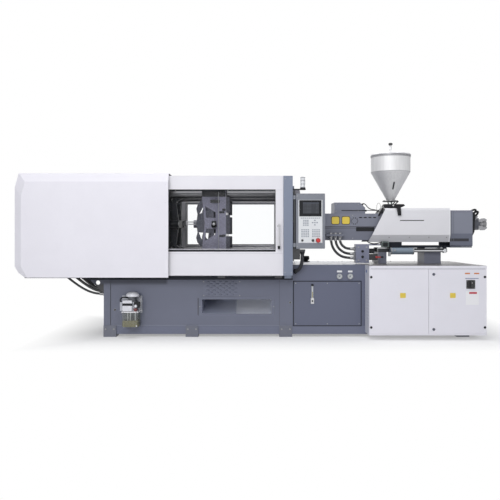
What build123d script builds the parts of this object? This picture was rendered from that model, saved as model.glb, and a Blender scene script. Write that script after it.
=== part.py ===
from build123d import *
import os
from math import asin, atan2, cos, degrees, hypot, pi, radians, sin, tan

os.makedirs("parts", exist_ok=True)

# Horizontal injection moulding machine with a double-toggle clamp. Millimetres.
# X runs from the clamp end to the motor end, -Y is the operator's side, Z is up from the floor.
# The origin is on the floor, under the middle of the machine.

# Overall sizes
half_length = 2625
half_width = 650
axis_height = 1240

# Clearances
running_fit = 0.05
slide_gap = 0.5
seat_gap = 0.3
side_play = 1

# Sheet and plate
sheet = 3
bed_wall = 12

# Bed
bed_left = -1722
bed_right = 2360
bed_half_width = 435
bed_bottom = 30
clamp_bed_top = 640
injection_bed_top = 786
bed_step = 330
foot_width = 139
foot_height = 123
foot_plate = 12

# Electrical cabinet
cabinet_x = (1132, 2370)

# Platens and tie bars
platen_half = 415
platen_corner = 60
tie_bar_radius = 40
tie_bar_y = 330
tie_bar_z = 320
fixed_face = 185
fixed_thickness = 175
register_radius = 62.5
register_depth = 30
daylight = 573
moving_plate = 90
ear_reach = 141
way_height = 12

# Toggle
link_length = 290
clamp_stroke = 420
pivot_height = 330
eye_radius = 42
pin_radius = 26
link_thickness = 45

# Gates and covers
gate_depth = 40
gate_left = -1085
gate_right = 229
gate_bottom = 679
track_top = gate_bottom - 9
gate_top = 1740
cover_bottom = 661
cover_top = 1767
cover_right = -986
cover_depth = 130

# Injection unit
barrel_radius = 55
screw_radius = 22.5
hopper_x = 1518
hopper_radius = 225


def block(x, y, z, mode=Mode.ADD):
    """A block in the open part, between its lowest and highest x, y and z."""
    with Locations((sum(x) / 2, sum(y) / 2, sum(z) / 2)):
        Box(x[1] - x[0], y[1] - y[0], z[1] - z[0], mode=mode)


def bar_x(x, y, z, radius, mode=Mode.ADD):
    """A round bar along X in the open part, between two values of x."""
    with Locations(Location((sum(x) / 2, y, z), (0, 90, 0))):
        Cylinder(radius, x[1] - x[0], mode=mode)


def bar_y(x, y, z, radius, mode=Mode.ADD):
    """A round bar along Y in the open part, between two values of y."""
    with Locations(Location((x, sum(y) / 2, z), (90, 0, 0))):
        Cylinder(radius, y[1] - y[0], mode=mode)


def bar_z(x, y, z, radius, mode=Mode.ADD):
    """A round bar along Z in the open part, between two values of z."""
    with Locations((x, y, sum(z) / 2)):
        Cylinder(radius, z[1] - z[0], mode=mode)


def facing(y):
    """The plane at y that looks towards the operator, with x to the right and z up."""
    return Plane.XZ.offset(-y)


def outline(points):
    """A face in the open sketch with straight sides through the points."""
    with BuildLine() as edge:
        Polyline(*points, close=True)
    make_face(edge.edges())


def save(piece, name):
    """Label a finished piece and write it to its own file."""
    piece.part.label = name
    export_step(piece.part, f"parts/{name}.step")


def plate(x, y, z):
    """A plain plate, bar or tube that stays a solid of its own in the unit it is joined to."""
    with BuildPart() as stock:
        block(x, y, z)
    return stock


def save_unit(pieces, name):
    """Write the pieces that are welded or bolted into one unit to one file, each as its own solid."""
    unit = Compound([solid for piece in pieces for solid in piece.part.solids()])
    unit.label = name
    export_step(unit, f"parts/{name}.step")


# Bed: a welded hollow body, low under the clamp and high under the injection unit.
plinth_z = (114, 120)
groove_depth = 3
end_post_x = -1649
drop_opening_x = (-520, 150)
drop_opening_y = 250
chute_x = (-652, 114)
chute_z = (248, 412)
vent_x = (-640, -227)
vent_z = (440, 612)
service_x = (352, 1087)
service_z = (120, 606)
panel_ledge = 20
panel_sheet = 4
panel_gap = 1
bulkheads = (-1180, -700, 140, 1200)
way_x = (bed_left + 60, bed_step - 5)
way_y = (290, 370)
sill_left = -1862
gusset_low = 470
gusset_hole = (-1785, 591)
gusset_hole_radius = 23.5
left_gland = (-350, 461)
left_gland_length = 14
conduit_end = (368, -452, 716)
conduit_end_run = (-13, 40, -6)


def front_window(x, z, inset, depth=bed_wall):
    """An opening through the front wall of the bed, smaller all round by the inset."""
    block((x[0] + inset, x[1] - inset), (-bed_half_width, -bed_half_width + depth),
          (z[0] + inset, z[1] - inset), mode=Mode.SUBTRACT)


def bed_grooves(side):
    """The grooves over the plinth and beside the end post, in the open wall of one side."""
    face = sorted((side * bed_half_width, side * (bed_half_width - groove_depth)))
    block((bed_left, service_x[0] - panel_ledge), face, plinth_z, mode=Mode.SUBTRACT)
    block((end_post_x, end_post_x + groove_depth), face, (plinth_z[1], clamp_bed_top), mode=Mode.SUBTRACT)


# The walls: front and back plates over the whole height, and the others between them
wall_inner = bed_half_width - bed_wall
front_wall_y = (-bed_half_width, -wall_inner)
between_walls = (-wall_inner, wall_inner)
low_z = (bed_bottom, clamp_bed_top)
high_z = (bed_bottom, injection_bed_top)
front_seams = (chute_x[0] - 12, chute_x[1] + 12)

with BuildPart() as front_left_wall:
    block((bed_left, front_seams[0]), front_wall_y, low_z)
    bed_grooves(-1)

with BuildPart() as chute_wall:
    block(front_seams, front_wall_y, low_z)
    front_window(chute_x, chute_z, 0)
    front_window(vent_x, vent_z, 0, panel_sheet)
    front_window(vent_x, vent_z, panel_ledge)
    bed_grooves(-1)

with BuildPart() as front_middle_wall:
    block((front_seams[1], bed_step), front_wall_y, low_z)
    bed_grooves(-1)

with BuildPart() as front_right_wall:
    block((bed_step, bed_right), front_wall_y, high_z)
    front_window(service_x, service_z, 0, panel_sheet)
    front_window(service_x, service_z, panel_ledge)
    with BuildSketch(Plane(origin=conduit_end, z_dir=conduit_end_run)):
        Circle(26)
    extrude(amount=24)

with BuildPart() as back_left_wall:
    block((bed_left, bed_step), (wall_inner, bed_half_width), low_z)
    bed_grooves(1)

with BuildPart() as clamp_top:
    block((bed_left, bed_step + bed_wall), between_walls, (clamp_bed_top - bed_wall, clamp_bed_top))
    block(drop_opening_x, (-drop_opening_y, drop_opening_y), (clamp_bed_top - bed_wall, clamp_bed_top),
          mode=Mode.SUBTRACT)

with BuildPart() as end_gland:
    bar_x((bed_left - left_gland_length, bed_left), *left_gland, 20)

bed_plates = [
    front_left_wall, chute_wall, front_middle_wall, front_right_wall, back_left_wall, clamp_top, end_gland,
    plate((bed_step, bed_right), (wall_inner, bed_half_width), high_z),
    plate((bed_step, bed_right), between_walls, (injection_bed_top - bed_wall, injection_bed_top)),
    plate((bed_step, bed_step + bed_wall), between_walls, (clamp_bed_top, injection_bed_top - bed_wall)),
    plate((bed_left, bed_left + bed_wall), between_walls, (bed_bottom, clamp_bed_top - bed_wall)),
    plate((bed_right - bed_wall, bed_right), between_walls, (bed_bottom, injection_bed_top - bed_wall)),
]
for bulkhead_x in bulkheads:
    top = clamp_bed_top if bulkhead_x < bed_step else injection_bed_top
    bed_plates.append(plate((bulkhead_x, bulkhead_x + bed_wall), between_walls, (bed_bottom, top - bed_wall)))
for side in (-1, 1):
    bed_plates.append(plate(way_x, sorted((side * way_y[0], side * way_y[1])),
                            (clamp_bed_top, clamp_bed_top + way_height)))
    near, far = sorted((side * bed_half_width, side * wall_inner))
    with BuildPart() as gusset:
        with BuildSketch(facing(near)):
            outline([
                (bed_left, gusset_low), (bed_left, clamp_bed_top),
                (sill_left, clamp_bed_top), (sill_left, clamp_bed_top - 30),
            ])
            with Locations(gusset_hole):
                Circle(gusset_hole_radius, mode=Mode.SUBTRACT)
        extrude(amount=near - far)
    bed_plates.append(gusset)
save_unit(bed_plates, "bed_frame")

# Levelling feet: angle pieces under the lower edge, each with a levelling screw.
foot_centres = (-1653, -758, 265, 2200)
foot_depth = 110
with BuildPart() as levelling_feet:
    for foot_x in foot_centres:
        with BuildSketch(Plane.YZ.offset(foot_x - foot_width / 2)):
            outline([
                (bed_half_width + foot_plate, 0), (bed_half_width - foot_depth, 0),
                (bed_half_width - foot_depth, bed_bottom), (bed_half_width, bed_bottom),
                (bed_half_width, foot_height), (bed_half_width + foot_plate, foot_height),
            ])
        extrude(amount=foot_width)
    mirror(about=Plane.XZ)
    block((cabinet_x[0], bed_right), (-bed_half_width - foot_plate, -bed_half_width), (0, foot_height),
          mode=Mode.SUBTRACT)
save(levelling_feet, "levelling_feet")

# Bed panels: the slotted vent panel and the plain service panel, flush in the front wall.
slot_length = 33
slot_height = 8
slot_rows = 7
slot_columns = 6
slot_pitch_x = 67
slot_pitch_z = 23

# Parts chute: a folded sheet tray that leads the mouldings out at the front, with a divider.
chute_gap = 1
chute_back = 330
chute_divider_x = -279
with BuildPart() as bed_panels:
    inner_x = (chute_x[0] + chute_gap, chute_x[1] - chute_gap)
    with BuildSketch(Plane.YZ.offset(inner_x[0])):
        outline([
            (-bed_half_width, chute_z[0] + chute_gap), (chute_back, chute_z[0] + 140),
            (chute_back, chute_z[1] - chute_gap), (-bed_half_width, chute_z[1] - chute_gap),
        ])
    extrude(amount=inner_x[1] - inner_x[0])
    with BuildSketch(Plane.YZ.offset(inner_x[0] + sheet)):
        outline([
            (-bed_half_width - 1, chute_z[0] + chute_gap + sheet), (chute_back - sheet, chute_z[0] + 140 + sheet),
            (chute_back - sheet, chute_z[1]), (-bed_half_width - 1, chute_z[1]),
        ])
    extrude(amount=inner_x[1] - inner_x[0] - 2 * sheet, mode=Mode.SUBTRACT)
    block((chute_divider_x, chute_divider_x + sheet), (-bed_half_width, chute_back - sheet / 2),
          (chute_z[0] + 140, chute_z[1] - chute_gap))
    block((chute_divider_x, chute_divider_x + sheet), (-bed_half_width, -bed_half_width + 60),
          (chute_z[0] + chute_gap + sheet / 2, chute_z[0] + 141))
    frame_lip = 30
    with BuildSketch(facing(-bed_half_width)):
        with Locations((sum(chute_x) / 2, sum(chute_z) / 2)):
            Rectangle(chute_x[1] - chute_x[0] + 2 * frame_lip, chute_z[1] - chute_z[0] + 2 * frame_lip - 12)
            Rectangle(chute_x[1] - chute_x[0] - 8, chute_z[1] - chute_z[0] - 8, mode=Mode.SUBTRACT)
    extrude(amount=sheet)
    for span_x, span_z in ((vent_x, vent_z), (service_x, service_z)):
        block((span_x[0] + panel_gap, span_x[1] - panel_gap),
              (-bed_half_width, -bed_half_width + panel_sheet),
              (span_z[0] + panel_gap, span_z[1] - panel_gap))
    for row in range(slot_rows):
        shift = slot_pitch_x / 2 if row % 2 else 0
        with BuildSketch(facing(-bed_half_width)):
            with Locations((sum(vent_x) / 2 - slot_pitch_x / 4 + shift,
                            sum(vent_z) / 2 + (row - (slot_rows - 1) / 2) * slot_pitch_z)):
                with GridLocations(slot_pitch_x, slot_pitch_z, slot_columns - 1, 1):
                    Rectangle(slot_length, slot_height)
        extrude(amount=-panel_sheet, mode=Mode.SUBTRACT)
save(bed_panels, "bed_panels")

# Bed gauges: a thin oil level glass over its drain block, and two round pressure gauges.
gauge_x = (850, 967)
gauge_z = 661
gauge_radius = 29
gauge_depth = 22
needle_depth = 2
oil_gauge_x = 555
oil_gauge_z = (362, 559)
with BuildPart() as bed_gauges:
    for centre_x in gauge_x:
        bar_y(centre_x, (-bed_half_width - gauge_depth, -bed_half_width), gauge_z, gauge_radius)
        bar_y(centre_x, (-bed_half_width - gauge_depth, -bed_half_width - gauge_depth + 6), gauge_z,
              gauge_radius - 4, mode=Mode.SUBTRACT)
    block((oil_gauge_x - 9, oil_gauge_x + 9), (-bed_half_width - 14, -bed_half_width),
          (oil_gauge_z[0] + 60, oil_gauge_z[1]))
    block((oil_gauge_x - 17, oil_gauge_x + 17), (-bed_half_width - 20, -bed_half_width),
          (oil_gauge_z[0], oil_gauge_z[0] + 60))
save(bed_gauges, "bed_gauges")

needle_face = -bed_half_width - gauge_depth + 6
for centre_x, name in zip(gauge_x, ("left_gauge_needle", "right_gauge_needle")):
    with BuildPart() as gauge_needle:
        with BuildSketch(facing(needle_face - seat_gap - needle_depth)):
            with Locations((centre_x, gauge_z)):
                Circle(4)
            with Locations((centre_x - 7, gauge_z - 7)):
                Rectangle(20, 2, rotation=45)
        extrude(amount=-needle_depth)
    save(gauge_needle, name)

# Fixed platen: a cast plate with the mould's register bore, tie-bar bores and tapped holes.
tap_radius = 8
tap_depth = 30
tap_pitch = 140
nozzle_bore_radius = 40
nozzle_cone_radius = 150
nozzle_cone_depth = 110
platen_foot_y = (250, 390)
fixed_back = fixed_face + fixed_thickness
with BuildPart() as fixed_platen:
    with BuildSketch(Plane.YZ.offset(fixed_face)):
        with Locations((0, axis_height)):
            RectangleRounded(2 * platen_half, 2 * platen_half, platen_corner)
            with GridLocations(2 * tie_bar_y, 2 * tie_bar_z, 2, 2):
                Circle(tie_bar_radius + running_fit, mode=Mode.SUBTRACT)
            Circle(nozzle_bore_radius, mode=Mode.SUBTRACT)
    extrude(amount=fixed_thickness)
    with BuildSketch(Plane.YZ.offset(fixed_face)):
        with Locations((0, axis_height)):
            Circle(register_radius)
    extrude(amount=register_depth, mode=Mode.SUBTRACT)
    with Locations(Location((fixed_back - nozzle_cone_depth / 2, 0, axis_height), (0, 90, 0))):
        Cone(nozzle_bore_radius, nozzle_cone_radius, nozzle_cone_depth, mode=Mode.SUBTRACT)
    with BuildSketch(Plane.YZ.offset(fixed_face)):
        with Locations((0, axis_height)):
            with GridLocations(tap_pitch, tap_pitch, 4, 4):
                Circle(tap_radius)
            Rectangle(1.5 * tap_pitch, 1.5 * tap_pitch, mode=Mode.SUBTRACT)
    extrude(amount=tap_depth, mode=Mode.SUBTRACT)
    for side in (-1, 1):
        block((fixed_face + 10, bed_step - 2), sorted((side * platen_foot_y[0], side * platen_foot_y[1])),
              (clamp_bed_top + way_height, axis_height - platen_half + 1))
save(fixed_platen, "fixed_platen")

# Tie bars: four ground columns, with nuts behind the fixed platen.
tie_bar_end = -1575
nut_radius = 68
nut_length = 62
with BuildPart() as tie_bars:
    with BuildSketch(Plane.YZ.offset(tie_bar_end)):
        with Locations((0, axis_height)):
            with GridLocations(2 * tie_bar_y, 2 * tie_bar_z, 2, 2):
                Circle(tie_bar_radius)
    extrude(amount=fixed_back + nut_length + 6 - tie_bar_end)
    with BuildSketch(Plane.YZ.offset(fixed_back)):
        with Locations((0, axis_height)):
            with GridLocations(2 * tie_bar_y, 2 * tie_bar_z, 2, 2):
                RegularPolygon(nut_radius, 6)
    extrude(amount=nut_length)
save(tie_bars, "tie_bars")

# Toggle layout. The upper half is worked out here and the lower half mirrors it.
moving_face = fixed_face - daylight
front_pivot_x = moving_face - moving_plate - ear_reach
rear_pivot_x = front_pivot_x - 2 * link_length
knee_x = rear_pivot_x + link_length
fold_angle = degrees(asin((1 - (1 - clamp_stroke / (2 * link_length)) ** 2) ** 0.5))
upper_z = axis_height + pivot_height
tongue = (200, -60)
crosshead_x = rear_pivot_x + 220
crosshead_pin_z = 90
crosshead_link_length = hypot(crosshead_x - rear_pivot_x - tongue[0], pivot_height + tongue[1] - crosshead_pin_z)
folded_tongue = (
    tongue[0] * cos(radians(fold_angle)) + tongue[1] * sin(radians(fold_angle)),
    pivot_height - tongue[0] * sin(radians(fold_angle)) + tongue[1] * cos(radians(fold_angle)),
)
folded_crosshead_x = rear_pivot_x + folded_tongue[0] - (
    crosshead_link_length ** 2 - (folded_tongue[1] - crosshead_pin_z) ** 2) ** 0.5
crosshead_stroke = crosshead_x - folded_crosshead_x
link_turn_rest = degrees(atan2(crosshead_x - rear_pivot_x - tongue[0], pivot_height + tongue[1] - crosshead_pin_z))
link_turn_folded = degrees(atan2(folded_crosshead_x - rear_pivot_x - folded_tongue[0],
                                 folded_tongue[1] - crosshead_pin_z))
print("toggle: fold", fold_angle, "crosshead stroke", crosshead_stroke,
      "crosshead link turns", link_turn_rest, link_turn_folded)

# Layers of the toggle along Y, on each side of the middle
front_layer = (70, 70 + link_thickness)
rear_layer = (front_layer[1] + side_play, front_layer[1] + side_play + link_thickness)
cross_layer = (rear_layer[1] + side_play, rear_layer[1] + side_play + 35)
lug_layer = (rear_layer[0], rear_layer[1])


def plate_with_eyes(layer, eyes, bores, side):
    """A plate whose outline wraps the eyes, with their bores, in one layer at one side of the middle."""
    near, far = sorted((side * layer[0], side * layer[1]))
    with BuildSketch(facing(near)) as profile:
        for x, z, radius in eyes:
            with Locations((x, z)):
                Circle(radius)
        make_hull()
        for x, z, radius in bores:
            with Locations((x, z)):
                Circle(radius, mode=Mode.SUBTRACT)
    extrude(profile.sketch, amount=near - far)


def flipped(half, z):
    """The height on the upper or lower half of the toggle."""
    return axis_height + half * z


# Rear links: paired plates on the tail platen, each with a tongue for the crosshead link and the
# knee pin, which runs through the front link.
tongue_pin_radius = 20
for half, name in ((1, "upper_rear_links"), (-1, "lower_rear_links")):
    tongue_at = (rear_pivot_x + tongue[0], flipped(half, pivot_height + tongue[1]))
    with BuildPart() as rear_links:
        for side in (-1, 1):
            plate_with_eyes(
                rear_layer,
                [(rear_pivot_x, flipped(half, pivot_height), eye_radius + 8),
                 (knee_x, flipped(half, pivot_height), eye_radius),
                 (tongue_at[0], tongue_at[1], eye_radius - 8)],
                [(rear_pivot_x, flipped(half, pivot_height), pin_radius + 4 + running_fit),
                 (tongue_at[0], tongue_at[1], tongue_pin_radius)],
                side)
            bar_y(knee_x, sorted((side * front_layer[0], side * (rear_layer[0] + 1))),
                  flipped(half, pivot_height), pin_radius)
    save(rear_links, name)

# Front links: paired plates between the knee and the moving platen, whose ears they stand between.
for half, name in ((1, "upper_front_links"), (-1, "lower_front_links")):
    with BuildPart() as front_links:
        for side in (-1, 1):
            plate_with_eyes(
                front_layer,
                [(knee_x, flipped(half, pivot_height), eye_radius),
                 (front_pivot_x, flipped(half, pivot_height), eye_radius - 8)],
                [(knee_x, flipped(half, pivot_height), pin_radius + running_fit)],
                side)
    save(front_links, name)

# Crosshead links: between the crosshead's pins and the tongues of the rear links.
for half, name in ((1, "upper_crosshead_links"), (-1, "lower_crosshead_links")):
    with BuildPart() as crosshead_links:
        for side in (-1, 1):
            plate_with_eyes(
                cross_layer,
                [(crosshead_x, flipped(half, crosshead_pin_z), 34),
                 (rear_pivot_x + tongue[0], flipped(half, pivot_height + tongue[1]), 34)],
                [(crosshead_x, flipped(half, crosshead_pin_z), tongue_pin_radius + running_fit),
                 (rear_pivot_x + tongue[0], flipped(half, pivot_height + tongue[1]), tongue_pin_radius)],
                side)
    save(crosshead_links, name)

# Crosshead: a cast beam on two guide rods, with pins for its links and the clamp cylinder's rod.
guide_y = 255
guide_radius = 20
beam_half_height = 45
crosshead_half = 40
rod_radius = 30
piston_radius = 60
tail_back = rear_pivot_x - 270
cylinder_flange = 30
cylinder_back = tail_back - 590
with BuildPart() as crosshead:
    block((crosshead_x - crosshead_half, crosshead_x + crosshead_half), (-guide_y - 10, guide_y + 10),
          (axis_height - beam_half_height, axis_height + beam_half_height))
    for side in (-1, 1):
        bar_x((crosshead_x - crosshead_half - 15, crosshead_x + crosshead_half + 15), side * guide_y,
              axis_height, guide_radius + 22)
        for half in (1, -1):
            plate_with_eyes(
                lug_layer,
                [(crosshead_x, flipped(half, crosshead_pin_z), 34), (crosshead_x, axis_height, crosshead_half)],
                [], side)
            bar_y(crosshead_x, sorted((side * (lug_layer[1] - 1), side * cross_layer[1])),
                  flipped(half, crosshead_pin_z), tongue_pin_radius)
    for side in (-1, 1):
        bar_x((crosshead_x - 100, crosshead_x + 100), side * guide_y, axis_height,
              guide_radius + running_fit, mode=Mode.SUBTRACT)
    bar_x((crosshead_x - crosshead_half - 515, crosshead_x), 0, axis_height, rod_radius)
    bar_x((crosshead_x - crosshead_half - 545, crosshead_x - crosshead_half - 515), 0, axis_height,
          piston_radius - running_fit)
save(crosshead, "crosshead")

# Tail platen: carries the rear links on paired ears and slides on the ways to set the mould height.
# The clamp cylinder stands on its back, and the crosshead's guide rods on its front.
guide_rod_end = -925
tail_front = rear_pivot_x - 90
window_y = 305
window_z = 165
ear_inner = (front_layer[0] + 9, rear_layer[0] - side_play)
ear_outer = (rear_layer[1] + side_play, rear_layer[1] + side_play + 40)
shoe_y = (285, 375)
tail_pin_radius = pin_radius + 4
with BuildPart() as tail_casting:
    with BuildSketch(Plane.YZ.offset(tail_back)):
        with Locations((0, axis_height)):
            RectangleRounded(2 * platen_half, 2 * platen_half, platen_corner)
            with GridLocations(2 * tie_bar_y, 2 * tie_bar_z, 2, 2):
                Circle(tie_bar_radius + running_fit, mode=Mode.SUBTRACT)
            Rectangle(2 * window_y, 2 * window_z, mode=Mode.SUBTRACT)
    extrude(amount=tail_front - tail_back)
    for side in (-1, 1):
        for half in (1, -1):
            for layer in (ear_inner, ear_outer):
                plate_with_eyes(
                    layer,
                    [(rear_pivot_x, flipped(half, pivot_height), eye_radius + 8),
                     (tail_front - 10, flipped(half, pivot_height + 30), 40),
                     (tail_front - 10, flipped(half, pivot_height - 90), 40)],
                    [], side)
            bar_y(rear_pivot_x, sorted((side * (ear_inner[0] + 2), side * (ear_outer[0] + 2))),
                  flipped(half, pivot_height), tail_pin_radius)
        block((tail_back, tail_front), sorted((side * shoe_y[0], side * shoe_y[1])),
              (clamp_bed_top + way_height + slide_gap, axis_height - platen_half + 1))

with BuildPart() as clamp_cylinder:
    block((tail_back - cylinder_flange, tail_back), (-345, 345),
          (axis_height - 205, axis_height + 205))
    bar_x((cylinder_back, tail_back - cylinder_flange), 0, axis_height, piston_radius + 18)
    bar_x((cylinder_back, tail_back - cylinder_flange), 0, axis_height, piston_radius + running_fit,
          mode=Mode.SUBTRACT)
    bar_x((tail_back - cylinder_flange - 5, tail_back + 5), 0, axis_height, rod_radius + running_fit,
          mode=Mode.SUBTRACT)
    bar_x((cylinder_back - 40, cylinder_back), 0, axis_height, piston_radius + 26)

with BuildPart() as guide_rods:
    for side in (-1, 1):
        bar_x((tail_back, guide_rod_end), side * guide_y, axis_height, guide_radius)
save_unit((tail_casting, clamp_cylinder, guide_rods), "tail_platen")

# Moving platen: front plate, tie-bar bosses, ears for the front links, open side ribs and shoes.
boss_length = 82
boss_radius = 76
plate_back = moving_face - moving_plate
platen_ear_inner = (30, front_layer[0] - side_play - 3)
platen_ear_outer = (front_layer[1] + side_play + 3, front_layer[1] + side_play + 38)
rib_y = (352, 388)
rib_back = front_pivot_x - 35
ejector_leg_y = (207, 222)
ejector_bridge_x = (plate_back - 154, plate_back - 142)
ejector_bore_radius = 10
with BuildPart() as moving_casting:
    with BuildSketch(Plane.YZ.offset(plate_back)):
        with Locations((0, axis_height)):
            RectangleRounded(2 * platen_half, 2 * platen_half, platen_corner)
            with GridLocations(2 * tie_bar_y, 2 * tie_bar_z, 2, 2):
                Circle(tie_bar_radius + running_fit, mode=Mode.SUBTRACT)
            with GridLocations(tap_pitch * 2, tap_pitch * 2, 2, 2):
                Circle(ejector_bore_radius + side_play / 2, mode=Mode.SUBTRACT)
            Circle(ejector_bore_radius + 5 + side_play / 2, mode=Mode.SUBTRACT)
    extrude(amount=moving_plate)
    with BuildSketch(Plane.YZ.offset(moving_face)):
        with Locations((0, axis_height)):
            Circle(register_radius)
    extrude(amount=-register_depth, mode=Mode.SUBTRACT)
    with BuildSketch(Plane.YZ.offset(plate_back)):
        with Locations((0, axis_height)):
            with GridLocations(2 * tie_bar_y, 2 * tie_bar_z, 2, 2):
                Circle(boss_radius)
                Circle(tie_bar_radius + running_fit, mode=Mode.SUBTRACT)
    extrude(amount=-boss_length)
    for side in (-1, 1):
        for half in (1, -1):
            for layer in (platen_ear_inner, platen_ear_outer):
                plate_with_eyes(
                    layer,
                    [(front_pivot_x, flipped(half, pivot_height), 36),
                     (plate_back, flipped(half, pivot_height + 40), 30),
                     (plate_back, flipped(half, pivot_height - 70), 30)],
                    [(front_pivot_x, flipped(half, pivot_height), 20)], side)
        near, far = sorted((side * rib_y[0], side * rib_y[1]))
        with BuildSketch(facing(near)):
            outline([
                (plate_back + 5, flipped(1, platen_half - 20)), (rib_back + 60, flipped(1, platen_half - 35)),
                (rib_back, flipped(1, 290)), (rib_back + 30, axis_height), (rib_back, flipped(-1, 290)),
                (rib_back + 60, flipped(-1, platen_half - 35)), (plate_back + 5, flipped(-1, platen_half - 20)),
            ])
            for half in (1, -1):
                with BuildLine():
                    Polyline((plate_back - 25, flipped(half, 60)), (rib_back + 45, flipped(half, 60)),
                             (rib_back + 35, flipped(half, 190)), (plate_back - 25, flipped(half, 120)),
                             close=True)
                make_face(mode=Mode.SUBTRACT)
        extrude(amount=near - far)
        for half in (1, -1):
            bar_x((rib_back - 1, moving_face + 1), side * tie_bar_y, flipped(half, tie_bar_z),
                  tie_bar_radius + running_fit, mode=Mode.SUBTRACT)
        block((plate_back - 60, moving_face - 5), sorted((side * shoe_y[0], side * shoe_y[1])),
              (clamp_bed_top + way_height + slide_gap, axis_height - platen_half + 1))

with BuildPart() as ejector_bridge:
    for side in (-1, 1):
        block((ejector_bridge_x[0], plate_back), sorted((side * ejector_leg_y[0], side * ejector_leg_y[1])),
              (axis_height - 60, axis_height + 60))
    block(ejector_bridge_x, (-ejector_leg_y[1], ejector_leg_y[1]), (axis_height - 60, axis_height + 60))
    bar_x((ejector_bridge_x[0] - 150, ejector_bridge_x[0]), 0, axis_height, 45)
    bar_x((ejector_bridge_x[0] - 140, ejector_bridge_x[1] + 5), 0, axis_height, 18 + running_fit,
          mode=Mode.SUBTRACT)
save_unit((moving_casting, ejector_bridge), "moving_platen")

# Ejector: plate on the cylinder's rod, with five pins through the moving platen.
ejector_stroke = 80
ejector_plate_x = (plate_back - 102, plate_back - 82)
with BuildPart() as ejector:
    with BuildSketch(Plane.YZ.offset(ejector_plate_x[0])):
        with Locations((0, axis_height)):
            RectangleRounded(360, 360, 30)
    extrude(amount=ejector_plate_x[1] - ejector_plate_x[0])
    with BuildSketch(Plane.YZ.offset(ejector_plate_x[1])):
        with Locations((0, axis_height)):
            with GridLocations(tap_pitch * 2, tap_pitch * 2, 2, 2):
                Circle(ejector_bore_radius)
            Circle(ejector_bore_radius + 5)
    extrude(amount=moving_face - register_depth - 5 - ejector_plate_x[1])
    bar_x((ejector_bridge_x[0] - ejector_stroke - 40, ejector_plate_x[0]), 0, axis_height, 18)
save(ejector, "ejector")

# Guard frame: square tubes that carry the clamp covers, and the tracks on which the gates run.
tube = 40
frame_y = (half_width - 150, half_width - 110)
frame_left = -2545
frame_posts = (frame_left, -1764, -1030)
sill_outer = half_width - 35
sill_z = (636, 648)
track_y = (half_width - 80, half_width - 60)
upper_rail_z = (1655, 1695)
pillar_x = (230, 328)
frame_top = cover_top - sheet
bracket_x = (-2236, -2176)
bracket_z = (772, 782)
bracket_sheet = 12
guard_tubes = []
for side in (-1, 1):
    along = sorted((side * frame_y[0], side * frame_y[1]))
    for low in (sill_z[1], frame_top - tube):
        guard_tubes.append(plate((frame_left, cover_right - 4), along, (low, low + tube)))
    for post_x in frame_posts:
        guard_tubes.append(plate((post_x, post_x + tube), along, (sill_z[1] + tube, frame_top - tube)))
    guard_tubes.append(plate((cover_right - 4, 250), along, upper_rail_z))
    guard_tubes.append(plate((sill_left, bed_step - 2), sorted((side * bed_half_width, side * sill_outer)), sill_z))
    guard_tubes.append(plate((sill_left, pillar_x[0]), sorted((side * track_y[0], side * track_y[1])),
                             (sill_z[1], track_top)))
for post_x in (frame_left, frame_posts[1]):
    for low in (sill_z[1], frame_top - tube):
        guard_tubes.append(plate((post_x, post_x + tube), (-frame_y[0], frame_y[0]), (low, low + tube)))
guard_tubes.append(plate(bracket_x, (-frame_y[0], -frame_y[0] + bracket_sheet), (sill_z[1] + 2, bracket_z[0])))
guard_tubes.append(plate(bracket_x, (-frame_y[0], left_gland[0] + 30), bracket_z))
save_unit(guard_tubes, "guard_frame")


# Clamp covers: folded sheets with bevelled edges, cut corners and an open back.
bevel_depth = 50
top_bevel = 95
left_bevel = 85
strip_width = 60
strip_thickness = 2
top_cut = (42, 150)
low_cut = (68, 115)


def cover_outline(shrink, left, high):
    """The side outline of a clamp cover; shrink draws in the closed sides and opens the others."""
    right, low = cover_right + 4 * shrink, cover_bottom - 4 * shrink
    outline([
        (right, low), (right, high - shrink), (left + top_cut[0] + shrink, high - shrink),
        (left + shrink, high - top_cut[1] - shrink), (left + shrink, cover_bottom + low_cut[1] + shrink),
        (left + low_cut[0] + shrink, low),
    ])


with BuildPart() as front_clamp_cover:
    for shrink, mode in ((0, Mode.ADD), (sheet, Mode.SUBTRACT)):
        with BuildSketch(facing(-half_width + bevel_depth)):
            cover_outline(shrink, -half_length, cover_top)
        with BuildSketch(facing(-half_width + shrink)):
            cover_outline(shrink, -half_length + left_bevel, cover_top - top_bevel)
        loft(ruled=True, mode=mode)
        with BuildSketch(facing(-half_width + bevel_depth)):
            cover_outline(shrink, -half_length, cover_top)
        extrude(amount=bevel_depth - cover_depth - shrink, mode=mode)
    block((cover_right - strip_width, cover_right), (-half_width - strip_thickness, -half_width),
          (cover_bottom, cover_top - top_bevel))
save(front_clamp_cover, "front_clamp_cover")

with BuildPart() as rear_clamp_cover:
    add(mirror(front_clamp_cover.part, about=Plane.XZ))
save(rear_clamp_cover, "rear_clamp_cover")

# Clamp hood: one folded sheet over the top and down the end, with air slots in the end.
hood_half_width = half_width - cover_depth
air_slot = (200, 14)
air_slot_pitch = (320, 60)
with BuildPart() as clamp_hood:
    for shrink, mode in ((0, Mode.ADD), (sheet, Mode.SUBTRACT)):
        with BuildSketch(Plane.XZ):
            cover_outline(shrink, -half_length, cover_top)
        extrude(amount=hood_half_width + shrink, both=True, mode=mode)
    with BuildSketch(Plane.YZ.offset(-half_length)):
        with Locations((0, axis_height)):
            with GridLocations(*air_slot_pitch, 2, 8):
                Rectangle(*air_slot)
    extrude(amount=2 * sheet, mode=Mode.SUBTRACT)
save(clamp_hood, "clamp_hood")

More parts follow.
